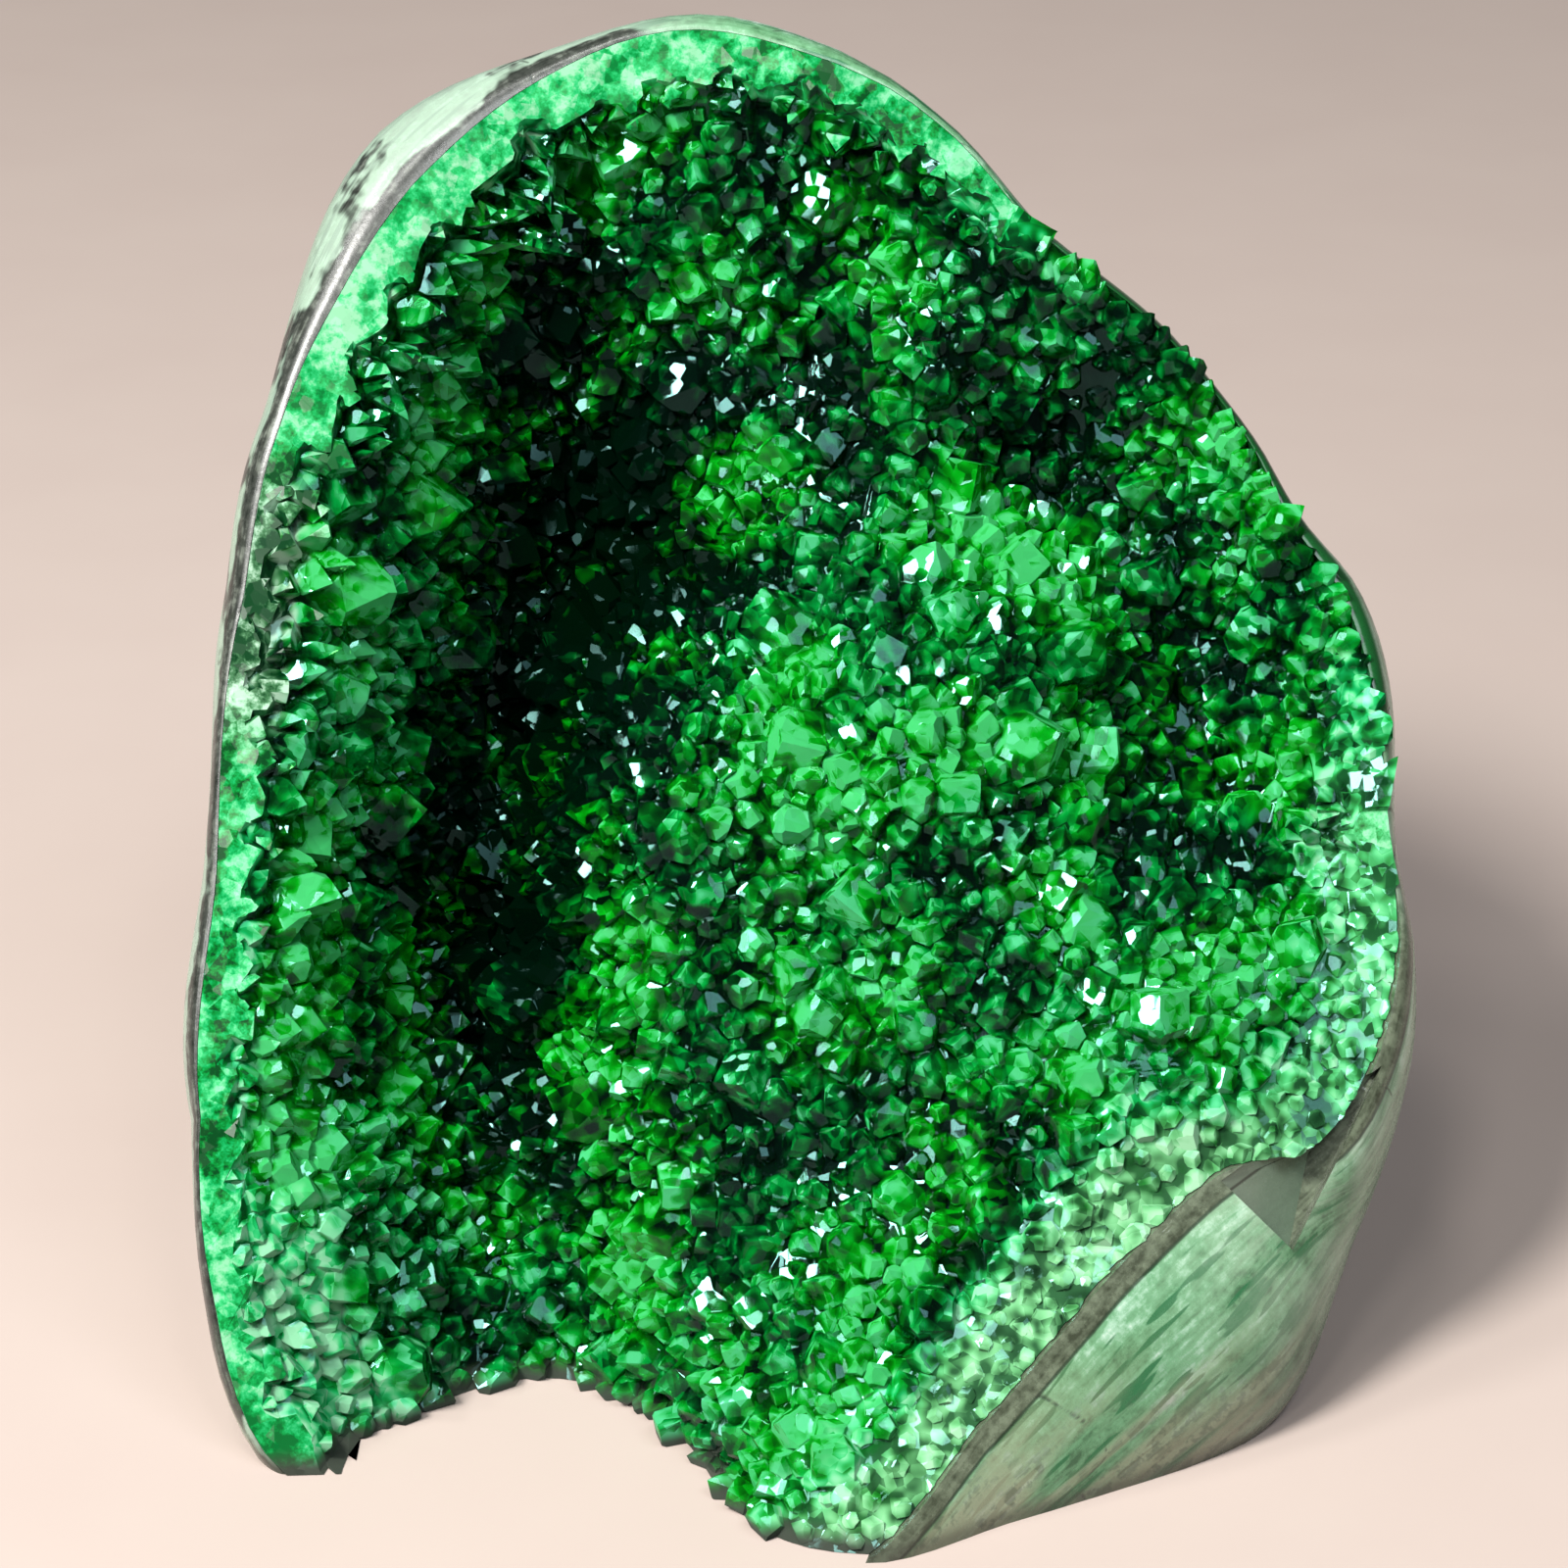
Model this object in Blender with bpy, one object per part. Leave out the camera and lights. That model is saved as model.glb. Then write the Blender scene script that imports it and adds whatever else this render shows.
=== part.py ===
"""Freestanding quartz geode: a ground rock shell, sawn flat to stand on, lined with a crust of crystals.

The shell and the crust are drawn in a face frame that leans back with the open side. In it u runs to the
right, v up the lean and n out of the face, and world_point turns the three into metres with +Z up.
"""

import math
import random

import bmesh
import bpy
import numpy as np
from mathutils import Matrix, Vector

# Placing of the face frame. The lean is measured from the vertical.
LEAN = math.radians(25.0)
FACE_CENTRE = (0.0, 0.052)
ORIGIN_SHIFT = (0.0018, 0.0295)

# Border of the face: direction from the face centre in degrees, then in metres the radius and height of
# the crust's border, and the radius and height at which the shell is widest.
BORDER = (
    (-176.0, 0.0462, -0.0010, 0.0475, -0.0060),
    (-154.0, 0.0526, 0.0000, 0.0544, -0.0050),
    (-141.0, 0.0595, 0.0000, 0.0616, -0.0040),
    (-130.0, 0.0655, 0.0000, 0.0667, -0.0040),
    (-113.0, 0.0660, 0.0000, 0.0680, -0.0060),
    (-96.0, 0.0635, 0.0080, 0.0670, -0.0060),
    (-83.0, 0.0574, 0.0115, 0.0660, -0.0060),
    (-72.0, 0.0497, 0.0090, 0.0650, -0.0080),
    (-58.0, 0.0448, 0.0065, 0.0635, -0.0090),
    (-47.0, 0.0436, 0.0040, 0.0622, -0.0090),
    (-37.0, 0.0449, 0.0020, 0.0594, -0.0100),
    (-31.0, 0.0502, 0.0000, 0.0578, -0.0100),
    (-23.0, 0.0517, -0.0020, 0.0557, -0.0100),
    (-10.0, 0.0514, -0.0050, 0.0528, -0.0110),
    (-1.0, 0.0498, -0.0070, 0.0510, -0.0120),
    (12.0, 0.0502, -0.0090, 0.0514, -0.0140),
    (23.0, 0.0506, -0.0120, 0.0515, -0.0160),
    (31.0, 0.0497, -0.0130, 0.0505, -0.0170),
    (39.0, 0.0508, -0.0140, 0.0517, -0.0180),
    (52.0, 0.0524, -0.0140, 0.0533, -0.0180),
    (67.0, 0.0546, -0.0140, 0.0555, -0.0180),
    (79.0, 0.0612, -0.0130, 0.0623, -0.0170),
    (86.0, 0.0642, -0.0120, 0.0657, -0.0170),
    (97.0, 0.0674, -0.0120, 0.0692, -0.0170),
    (107.0, 0.0660, -0.0110, 0.0690, -0.0160),
    (120.0, 0.0616, -0.0080, 0.0668, -0.0150),
    (130.0, 0.0572, -0.0060, 0.0624, -0.0130),
    (141.0, 0.0530, -0.0040, 0.0560, -0.0100),
    (157.0, 0.0480, -0.0030, 0.0494, -0.0080),
)

# Heights of the crust under its crystals, as (u, v, n) in metres.
LEFT_WALL = (
    (-0.036, 0.020, -0.003),
    (-0.038, 0.038, -0.005),
    (-0.036, 0.056, -0.008),
    (-0.034, 0.072, -0.010),
    (-0.032, 0.086, -0.011),
    (-0.027, 0.097, -0.013),
)
DEEP_VALLEY = (
    (-0.021, 0.104, -0.019),
    (-0.019, 0.090, -0.024),
    (-0.017, 0.074, -0.027),
    (-0.022, 0.060, -0.028),
    (-0.026, 0.046, -0.026),
    (-0.028, 0.033, -0.021),
    (-0.024, 0.019, -0.017),
    (-0.022, 0.006, -0.012),
    (-0.021, -0.006, -0.009),
)
MIDDLE_RIDGE = (
    (-0.014, 0.062, -0.009),
    (-0.014, 0.052, -0.004),
    (-0.013, 0.042, -0.005),
    (-0.015, 0.032, -0.008),
    (-0.012, 0.022, -0.006),
    (-0.011, 0.012, -0.006),
    (-0.009, 0.002, -0.005),
)
UPPER_SLOPE = (
    (-0.009, 0.100, -0.014),
    (-0.008, 0.086, -0.019),
    (0.002, 0.094, -0.018),
    (0.004, 0.104, -0.016),
    (0.012, 0.091, -0.013),
    (0.002, 0.078, -0.015),
    (-0.005, 0.070, -0.015),
    (0.008, 0.068, -0.008),
    (0.022, 0.070, -0.012),
)
SIDE_VALLEY = (
    (0.020, 0.084, -0.020),
    (0.028, 0.078, -0.019),
    (0.030, 0.090, -0.016),
    (0.033, 0.066, -0.018),
    (0.040, 0.070, -0.015),
    (0.035, 0.054, -0.013),
    (0.042, 0.060, -0.012),
)
MIDDLE_LUMPS = (
    (0.008, 0.057, 0.000),
    (0.020, 0.055, -0.004),
    (0.000, 0.050, -0.002),
    (0.010, 0.044, -0.001),
    (0.026, 0.042, -0.001),
    (0.038, 0.044, -0.005),
    (0.040, 0.034, -0.002),
)
RIGHT_FOOT = (
    (0.030, 0.030, 0.003),
    (0.020, 0.028, 0.003),
    (0.004, 0.030, -0.001),
    (0.014, 0.020, 0.003),
    (0.024, 0.018, 0.005),
    (0.004, 0.014, 0.004),
    (0.012, 0.008, 0.008),
    (-0.002, 0.020, 0.000),
    (-0.006, 0.010, 0.000),
    (0.002, 0.002, 0.009),
    (-0.004, -0.001, 0.005),
)
RELIEF_POINTS = (
    LEFT_WALL + DEEP_VALLEY + MIDDLE_RIDGE + UPPER_SLOPE + SIDE_VALLEY + MIDDLE_LUMPS + RIGHT_FOOT
)

SLOPE_STEP = 0.0005

# Shell: the rings of points it is shaped from, and the furthest point of its back as (u, v, n). The back
# bulges low down, so that the piece stands by itself.
SEGMENTS = 40
HOLLOW_RINGS = 6
HOLLOW_SHARE = 0.985
SHOULDER_RINGS = 3
BACK_RINGS = 6
BACK_POLE = (0.002, 0.032, -0.047)
BACK_FULLNESS = 1.25
SWELL_HEIGHT = 0.0005
SWELL_TURNS = ((190.0, 70.0, 0.0, 0.0), (0.0, 160.0, -120.0, 1.3))

# Notch ground into the shell's lower right border, as corners in the face frame.
NOTCH_FLOOR = ((0.0428, 0.0258, -0.0035), (0.0412, 0.0182, -0.0030))
NOTCH_ENDS = ((0.0352, 0.0240, 0.0022), (0.0487, 0.0330, -0.0038))
NOTCH_HEIGHT = 0.015

# Crust, and the room in front of the shell that it may fill. The sheet is drawn larger than the room by
# its excess, and between crystals it lies a little under the relief.
CRUST_DEPTH = 0.0035
SHEET_RINGS = 8
SHEET_EXCESS = 0.0012
SHEET_SINK = 0.0010
GAP = 0.0004
ROOM_HEIGHT = 0.012
ROOM_LID_RINGS = 2

# The part of the border that is left as it broke, in degrees. The rest is ground flush with the shell.
NATURAL_ARC = (-14.0, 62.0)
NATURAL_FADE = 10.0
NATURAL_OVERHANG = 0.0026

# Crystals. Next to the ground border they are smaller, and they keep clear of its plain band.
CRYSTAL_SPACING = 0.0070
CRYSTAL_RADIUS = (0.0042, 0.0058)
CRYSTAL_REACH = (0.0050, 0.0072)
CRYSTAL_ROOT = 0.0018
CRYSTAL_LEAN = math.radians(24.0)
CRYSTAL_TRIES = 9000
LOWEST_CRYSTAL = 0.0012
PLAIN_BAND = 0.0042
SMALL_BAND = 0.0080
SMALL_SHARE = 0.65
EDGE_CRYSTALS = 12
EDGE_CRYSTAL_SHARE = 0.8
EDGE_CRYSTAL_INSET = 0.0008
EDGE_LEAN = 0.55
TIP_SLOPE = math.radians(52.0)
TIP_WANDER = math.radians(4.0)
LARGE_FACE_INSET = (0.0, 0.16)
SMALL_FACE_INSET = (-0.40, -0.20)
SMALL_FACE_MISSING = 0.4
SEED = 24

# Block that saws the base flat.
FLOOR_SIZE = 0.3

# Colours of the two pieces.
ROCK_COLOUR = (0.42, 0.50, 0.42, 1.0)
CRYSTAL_COLOUR = (0.01, 0.38, 0.09, 1.0)


def world_point(u, v, n):
    """A point of the face frame in metres, with the base on z = 0."""
    x = u - ORIGIN_SHIFT[0]
    y = v * math.sin(LEAN) - n * math.cos(LEAN) - ORIGIN_SHIFT[1]
    z = v * math.cos(LEAN) + n * math.sin(LEAN)
    return Vector((x, y, z))


def world_direction(u, v, n):
    """A direction of the face frame as a unit vector."""
    return (world_point(u, v, n) - world_point(0.0, 0.0, 0.0)).normalized()


def border_at(direction):
    """The four BORDER values at a direction in degrees, on one smooth closed curve."""
    count = len(BORDER)
    turn = (direction - BORDER[0][0]) % 360.0
    starts = [(row[0] - BORDER[0][0]) % 360.0 for row in BORDER] + [360.0]
    i = max(k for k in range(count) if starts[k] <= turn)
    t = (turn - starts[i]) / (starts[i + 1] - starts[i])
    before, here, after, beyond = (np.array(BORDER[(i + k) % count][1:]) for k in (-1, 0, 1, 2))
    slope_here = (after - before) / 2.0
    slope_after = (beyond - here) / 2.0
    return (
        (2 * t**3 - 3 * t**2 + 1) * here
        + (t**3 - 2 * t**2 + t) * slope_here
        + (3 * t**2 - 2 * t**3) * after
        + (t**3 - t**2) * slope_after
    )


def spline_kernel(distance):
    """Thin-plate kernel, r squared times log r, with 0 at r = 0."""
    safe = np.maximum(distance, 1e-9)
    return safe**2 * np.log(safe)


def natural_share(direction):
    """1 where the border is left as it broke, 0 where it is ground, with a short fade between."""
    turn = (direction + 180.0) % 360.0 - 180.0
    outside = max(NATURAL_ARC[0] - turn, turn - NATURAL_ARC[1], 0.0)
    return max(0.0, 1.0 - outside / NATURAL_FADE)


class Relief:
    """The smooth surface through every height given for the crust: n as a function of u and v."""

    def __init__(self):
        points = [list(p) for p in RELIEF_POINTS]
        for direction, radius, height, _, _ in BORDER:
            u, v = face_point(direction, radius)
            points.append([u, v, height])
        data = np.array(points)
        self.places = data[:, :2]
        count = len(data)
        gaps = np.linalg.norm(self.places[:, None] - self.places[None], axis=2)
        flat = np.column_stack([np.ones(count), self.places])
        system = np.zeros((count + 3, count + 3))
        system[:count, :count] = spline_kernel(gaps)
        system[:count, count:] = flat
        system[count:, :count] = flat.T
        self.weights = np.linalg.solve(system, np.append(data[:, 2], np.zeros(3)))

    def height(self, u, v):
        """n at one place."""
        distance = np.linalg.norm(self.places - np.array((u, v)), axis=1)
        terms = np.append(spline_kernel(distance), (1.0, u, v))
        return float(terms @ self.weights)

    def normal(self, u, v):
        """The outward direction at one place, in world axes."""
        slope_u = (self.height(u + SLOPE_STEP, v) - self.height(u - SLOPE_STEP, v)) / (2 * SLOPE_STEP)
        slope_v = (self.height(u, v + SLOPE_STEP) - self.height(u, v - SLOPE_STEP)) / (2 * SLOPE_STEP)
        return world_direction(-slope_u, -slope_v, 1.0)


def face_point(direction, radius):
    """(u, v) at a direction in degrees and a radius from the face centre."""
    angle = math.radians(direction)
    return (
        FACE_CENTRE[0] + radius * math.cos(angle),
        FACE_CENTRE[1] + radius * math.sin(angle),
    )


def swell(u, v, n):
    """The low swells that hand grinding leaves on the shell."""
    waves = (math.sin(a * u + b * v + c * n + start) for a, b, c, start in SWELL_TURNS)
    return SWELL_HEIGHT * sum(waves)


def shaped_sphere(name, segments, rings, shape):
    """A sphere whose points are moved to shape(ring, direction), where ring counts from the front pole."""
    mesh = bpy.data.meshes.new(name)
    form = bmesh.new()
    bmesh.ops.create_uvsphere(form, u_segments=segments, v_segments=rings, radius=1.0)
    for vert in form.verts:
        polar = math.acos(max(-1.0, min(1.0, vert.co.z)))
        ring = round(polar / math.pi * rings)
        direction = math.degrees(math.atan2(vert.co.y, vert.co.x))
        vert.co = world_point(*shape(ring, direction))
    bmesh.ops.triangulate(form, faces=form.faces, quad_method="FIXED")
    bmesh.ops.recalc_face_normals(form, faces=form.faces)
    form.to_mesh(mesh)
    form.free()
    return mesh


def shell_mesh(name, relief):
    """The shell before its notch is ground and its base sawn."""
    border_ring = HOLLOW_RINGS + 1
    widest_ring = border_ring + SHOULDER_RINGS
    last = widest_ring + BACK_RINGS

    def shape(ring, direction):
        border, border_n, outer, outer_n = border_at(direction)
        if ring <= HOLLOW_RINGS:
            u, v = face_point(direction, border * ring / HOLLOW_RINGS * HOLLOW_SHARE)
            return u, v, relief.height(u, v) - CRUST_DEPTH
        if ring <= widest_ring:
            turn = (ring - border_ring) / SHOULDER_RINGS * math.pi / 2
            radius = border + (outer - border) * math.sin(turn)
            n = outer_n + (border_n - outer_n) * math.cos(turn)
            u, v = face_point(direction, radius)
            return *face_point(direction, radius + swell(u, v, n) * math.sin(turn)), n
        if ring == last:
            return BACK_POLE
        turn = (ring - widest_ring) / BACK_RINGS * math.pi / 2
        depth = math.sin(turn) ** BACK_FULLNESS
        n = outer_n + (BACK_POLE[2] - outer_n) * depth
        radius = outer * math.cos(turn) ** (1 / BACK_FULLNESS)
        u, v = face_point(direction, radius)
        u, v = face_point(direction, radius + swell(u, v, n))
        return u + (BACK_POLE[0] - FACE_CENTRE[0]) * depth, v + (BACK_POLE[1] - FACE_CENTRE[1]) * depth, n

    return shaped_sphere(name, SEGMENTS, last, shape)


def crust_room_mesh(name, relief):
    """The space that the crust may fill: the shell's hollow less a gap, and what is in front of it. Along
    the natural edge it also reaches out over the shell's border, as a lip."""
    border_ring = HOLLOW_RINGS + 1
    lip_ring = border_ring + 1
    last = lip_ring + 1 + ROOM_LID_RINGS

    def shape(ring, direction):
        border, border_n, _, _ = border_at(direction)
        natural = natural_share(direction)
        overhang = NATURAL_OVERHANG * natural
        if ring <= HOLLOW_RINGS:
            reach = border * ring / HOLLOW_RINGS * HOLLOW_SHARE
            n = relief.height(*face_point(direction, reach)) - CRUST_DEPTH + GAP
            return *face_point(direction, reach - GAP * (ring == HOLLOW_RINGS)), n
        if ring == border_ring:
            return *face_point(direction, border - GAP), border_n + GAP
        if ring == lip_ring:
            rise = GAP * (1.0 - natural)
            return *face_point(direction, border - GAP + overhang), border_n + GAP + rise
        share = (last - ring) / ROOM_LID_RINGS
        n = relief.height(*face_point(direction, border * share)) + ROOM_HEIGHT
        return *face_point(direction, (border - GAP + overhang) * share), n

    return shaped_sphere(name, SEGMENTS, last, shape)


def crust_sheet_mesh(name, relief):
    """The sheet that the crystals grow from. It is wider and deeper than the room that it is trimmed to."""
    last = 2 * SHEET_RINGS + 1

    def shape(ring, direction):
        on_top = ring <= SHEET_RINGS
        share = (ring if on_top else last - ring) / SHEET_RINGS
        u, v = face_point(direction, (border_at(direction)[0] + SHEET_EXCESS) * share)
        if not on_top:
            return u, v, relief.height(u, v) - CRUST_DEPTH - SHEET_EXCESS
        return u, v, relief.height(u, v) - SHEET_SINK * (ring < SHEET_RINGS)

    return shaped_sphere(name, SEGMENTS, last, shape)


def quartz_mesh(name, radius, reach, rng):
    """A six-sided quartz point with its tip at z = reach and its root below z = 0. Three large faces meet
    at the tip, and most crystals have smaller ones between them."""
    form = bmesh.new()
    bmesh.ops.create_cone(
        form, cap_ends=True, segments=6, radius1=radius, radius2=radius, depth=reach + CRYSTAL_ROOT
    )
    bmesh.ops.translate(form, verts=form.verts, vec=(0, 0, (reach - CRYSTAL_ROOT) / 2))
    for side in range(6):
        large = side % 2 == 1
        inset = rng.uniform(*LARGE_FACE_INSET) if large else rng.uniform(*SMALL_FACE_INSET)
        if not large and rng.random() < SMALL_FACE_MISSING:
            continue
        angle = math.radians(side * 60.0 + 30.0)
        slope = TIP_SLOPE + rng.uniform(-TIP_WANDER, TIP_WANDER)
        level = math.sin(slope)
        normal = Vector((math.cos(angle) * level, math.sin(angle) * level, math.cos(slope)))
        cut = bmesh.ops.bisect_plane(
            form,
            geom=form.verts[:] + form.edges[:] + form.faces[:],
            plane_co=Vector((0, 0, reach)) - normal * inset * radius,
            plane_no=normal,
            clear_outer=True,
        )
        rim = [e for e in cut["geom_cut"] if isinstance(e, bmesh.types.BMEdge)]
        if rim:
            bmesh.ops.edgeloop_fill(form, edges=rim)
    bmesh.ops.recalc_face_normals(form, faces=form.faces)
    mesh = bpy.data.meshes.new(name)
    form.to_mesh(mesh)
    form.free()
    return mesh


def crystal_places(relief, rng):
    """Where crystals stand: (point, axis, size share). Those along the natural edge come first and lean
    out over the shell, then the rest fill the crust at no less than the spacing."""
    places = []
    first, last = NATURAL_ARC
    for k in range(EDGE_CRYSTALS):
        direction = first + (last - first) * (k + 0.5) / EDGE_CRYSTALS
        u, v = face_point(direction, border_at(direction)[0] - EDGE_CRYSTAL_INSET)
        angle = math.radians(direction)
        outward = world_direction(math.cos(angle), math.sin(angle), 0.0)
        axis = (relief.normal(u, v) + outward * EDGE_LEAN).normalized()
        places.append((world_point(u, v, relief.height(u, v) - SHEET_SINK), axis, EDGE_CRYSTAL_SHARE))
    for _ in range(CRYSTAL_TRIES):
        direction = rng.uniform(-180.0, 180.0)
        reach = math.sqrt(rng.random())
        ground = 1.0 - natural_share(direction)
        border = border_at(direction)[0]
        radius = reach * (border - PLAIN_BAND * ground)
        u, v = face_point(direction, radius)
        point = world_point(u, v, relief.height(u, v) - SHEET_SINK)
        if point.z < LOWEST_CRYSTAL:
            continue
        if all((point - other).length > CRYSTAL_SPACING for other, _, _ in places):
            near_edge = ground * max(0.0, 1.0 - (border - radius - PLAIN_BAND) / SMALL_BAND)
            wander = Vector((rng.gauss(0, 1), rng.gauss(0, 1), rng.gauss(0, 1))).normalized()
            axis = relief.normal(u, v) + wander * math.tan(CRYSTAL_LEAN) * rng.random()
            places.append((point, axis.normalized(), 1.0 + (SMALL_SHARE - 1.0) * near_edge))
    return places


def crystal_meshes(relief):
    """One mesh for each crystal, set on the crust."""
    rng = random.Random(SEED)
    meshes = []
    for point, axis, share in crystal_places(relief, rng):
        radius = rng.uniform(*CRYSTAL_RADIUS) * share
        reach = rng.uniform(*CRYSTAL_REACH) * share
        spin = Matrix.Rotation(rng.uniform(0, math.tau), 4, "Z")
        turn = axis.to_track_quat("Z", "Y").to_matrix().to_4x4()
        mesh = quartz_mesh("crystal", radius, reach, rng)
        mesh.transform(Matrix.Translation(point) @ turn @ spin)
        meshes.append(mesh)
    return meshes


def notch_mesh(name):
    """The wedge ground out of the shell's border, as the hull of its corners."""
    form = bmesh.new()
    for u, v, n in NOTCH_FLOOR + NOTCH_ENDS:
        form.verts.new(world_point(u, v, n))
        form.verts.new(world_point(u, v, n + NOTCH_HEIGHT))
    bmesh.ops.convex_hull(form, input=form.verts)
    loose = [v for v in form.verts if not v.link_faces]
    bmesh.ops.delete(form, geom=loose, context="VERTS")
    bmesh.ops.recalc_face_normals(form, faces=form.faces)
    mesh = bpy.data.meshes.new(name)
    form.to_mesh(mesh)
    form.free()
    return mesh


def floor_mesh(name, top):
    """A block under the height top, for sawing the base flat."""
    form = bmesh.new()
    bmesh.ops.create_cube(form, size=FLOOR_SIZE)
    bmesh.ops.translate(form, verts=form.verts, vec=(0, 0, top - FLOOR_SIZE / 2))
    mesh = bpy.data.meshes.new(name)
    form.to_mesh(mesh)
    form.free()
    return mesh


def new_object(mesh, collection, helper=False):
    """An object for a mesh. A helper isn't part of the model."""
    made = bpy.data.objects.new(mesh.name, mesh)
    collection.objects.link(made)
    if helper:
        made.hide_render = True
        made.display_type = "WIRE"
    return made


def finish_material(name, colour, roughness):
    """A plain material with the piece's colour."""
    material = bpy.data.materials.new(name)
    material.use_nodes = True
    shader = material.node_tree.nodes["Principled BSDF"]
    shader.inputs["Base Color"].default_value = colour
    shader.inputs["Roughness"].default_value = roughness
    return material


def boolean(target, name, operation, cutter=None, group=None):
    """Adds a Boolean with one other object or with all those in a collection."""
    modifier = target.modifiers.new(name, "BOOLEAN")
    modifier.operation = operation
    modifier.solver = "EXACT"
    if group is not None:
        modifier.operand_type = "COLLECTION"
        modifier.collection = group
    else:
        modifier.object = cutter
    return modifier


def main():
    for old in list(bpy.data.objects):
        bpy.data.objects.remove(old)
    model = bpy.data.collections.new("crystal_geode")
    cutters = bpy.data.collections.new("cutters")
    points = bpy.data.collections.new("crystal_points")
    for collection in (model, cutters, points):
        bpy.context.scene.collection.children.link(collection)

    relief = Relief()
    floor = new_object(floor_mesh("floor_cut", 0.0), cutters, helper=True)
    crust_floor = new_object(floor_mesh("crust_floor_cut", GAP), cutters, helper=True)
    notch = new_object(notch_mesh("notch_cut"), cutters, helper=True)
    room = new_object(crust_room_mesh("crust_room", relief), cutters, helper=True)
    boolean(room, "flat base", "DIFFERENCE", crust_floor)
    for mesh in crystal_meshes(relief):
        new_object(mesh, points, helper=True)

    shell = new_object(shell_mesh("rock_shell", relief), model)
    boolean(shell, "notch", "DIFFERENCE", notch)
    boolean(shell, "flat base", "DIFFERENCE", floor)
    shell.data.materials.append(finish_material("polished rock", ROCK_COLOUR, 0.25))

    crust = new_object(crust_sheet_mesh("crystal_crust", relief), model)
    boolean(crust, "grown crystals", "UNION", group=points)
    boolean(crust, "trim to the room", "INTERSECT", room)
    crust.data.materials.append(finish_material("green quartz", CRYSTAL_COLOUR, 0.1))


main()
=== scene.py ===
import math
import random

import bmesh
import bpy
import numpy as np
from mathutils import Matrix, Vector

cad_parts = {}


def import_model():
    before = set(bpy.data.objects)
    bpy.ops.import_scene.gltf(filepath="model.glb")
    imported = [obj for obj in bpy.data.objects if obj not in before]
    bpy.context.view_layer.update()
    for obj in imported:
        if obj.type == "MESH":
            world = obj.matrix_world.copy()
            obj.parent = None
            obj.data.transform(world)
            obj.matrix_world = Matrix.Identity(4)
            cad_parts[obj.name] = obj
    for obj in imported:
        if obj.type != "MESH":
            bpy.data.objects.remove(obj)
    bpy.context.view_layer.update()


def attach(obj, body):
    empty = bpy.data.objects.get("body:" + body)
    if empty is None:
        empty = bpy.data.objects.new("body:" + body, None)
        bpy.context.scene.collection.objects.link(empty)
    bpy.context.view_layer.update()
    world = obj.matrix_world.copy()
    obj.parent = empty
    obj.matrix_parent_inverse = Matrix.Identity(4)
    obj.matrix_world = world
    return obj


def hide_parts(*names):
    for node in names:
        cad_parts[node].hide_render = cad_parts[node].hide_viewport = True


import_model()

# Face frame of the geode: u to the right, v up the lean, n out of the face.
LEAN = math.radians(25.0)
FACE_CENTRE = (0.0, 0.052)
ORIGIN_SHIFT = (0.0018, 0.0295)

# Border of the face: direction in degrees, radius and height of the crust's border, and radius and height
# at which the shell is widest.
BORDER = np.array((
    (-176.0, 0.0462, -0.0010, 0.0475, -0.0060),
    (-154.0, 0.0526, 0.0000, 0.0544, -0.0050),
    (-141.0, 0.0595, 0.0000, 0.0616, -0.0040),
    (-130.0, 0.0655, 0.0000, 0.0667, -0.0040),
    (-113.0, 0.0660, 0.0000, 0.0680, -0.0060),
    (-96.0, 0.0635, 0.0080, 0.0670, -0.0060),
    (-83.0, 0.0574, 0.0115, 0.0660, -0.0060),
    (-72.0, 0.0497, 0.0090, 0.0650, -0.0080),
    (-58.0, 0.0448, 0.0065, 0.0635, -0.0090),
    (-47.0, 0.0436, 0.0040, 0.0622, -0.0090),
    (-37.0, 0.0449, 0.0020, 0.0594, -0.0100),
    (-31.0, 0.0502, 0.0000, 0.0578, -0.0100),
    (-23.0, 0.0517, -0.0020, 0.0557, -0.0100),
    (-10.0, 0.0514, -0.0050, 0.0528, -0.0110),
    (-1.0, 0.0498, -0.0070, 0.0510, -0.0120),
    (12.0, 0.0502, -0.0090, 0.0514, -0.0140),
    (23.0, 0.0506, -0.0120, 0.0515, -0.0160),
    (31.0, 0.0497, -0.0130, 0.0505, -0.0170),
    (39.0, 0.0508, -0.0140, 0.0517, -0.0180),
    (52.0, 0.0524, -0.0140, 0.0533, -0.0180),
    (67.0, 0.0546, -0.0140, 0.0555, -0.0180),
    (79.0, 0.0612, -0.0130, 0.0623, -0.0170),
    (86.0, 0.0642, -0.0120, 0.0657, -0.0170),
    (97.0, 0.0674, -0.0120, 0.0692, -0.0170),
    (107.0, 0.0660, -0.0110, 0.0690, -0.0160),
    (120.0, 0.0616, -0.0080, 0.0668, -0.0150),
    (130.0, 0.0572, -0.0060, 0.0624, -0.0130),
    (141.0, 0.0530, -0.0040, 0.0560, -0.0100),
    (157.0, 0.0480, -0.0030, 0.0494, -0.0080),
))

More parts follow.
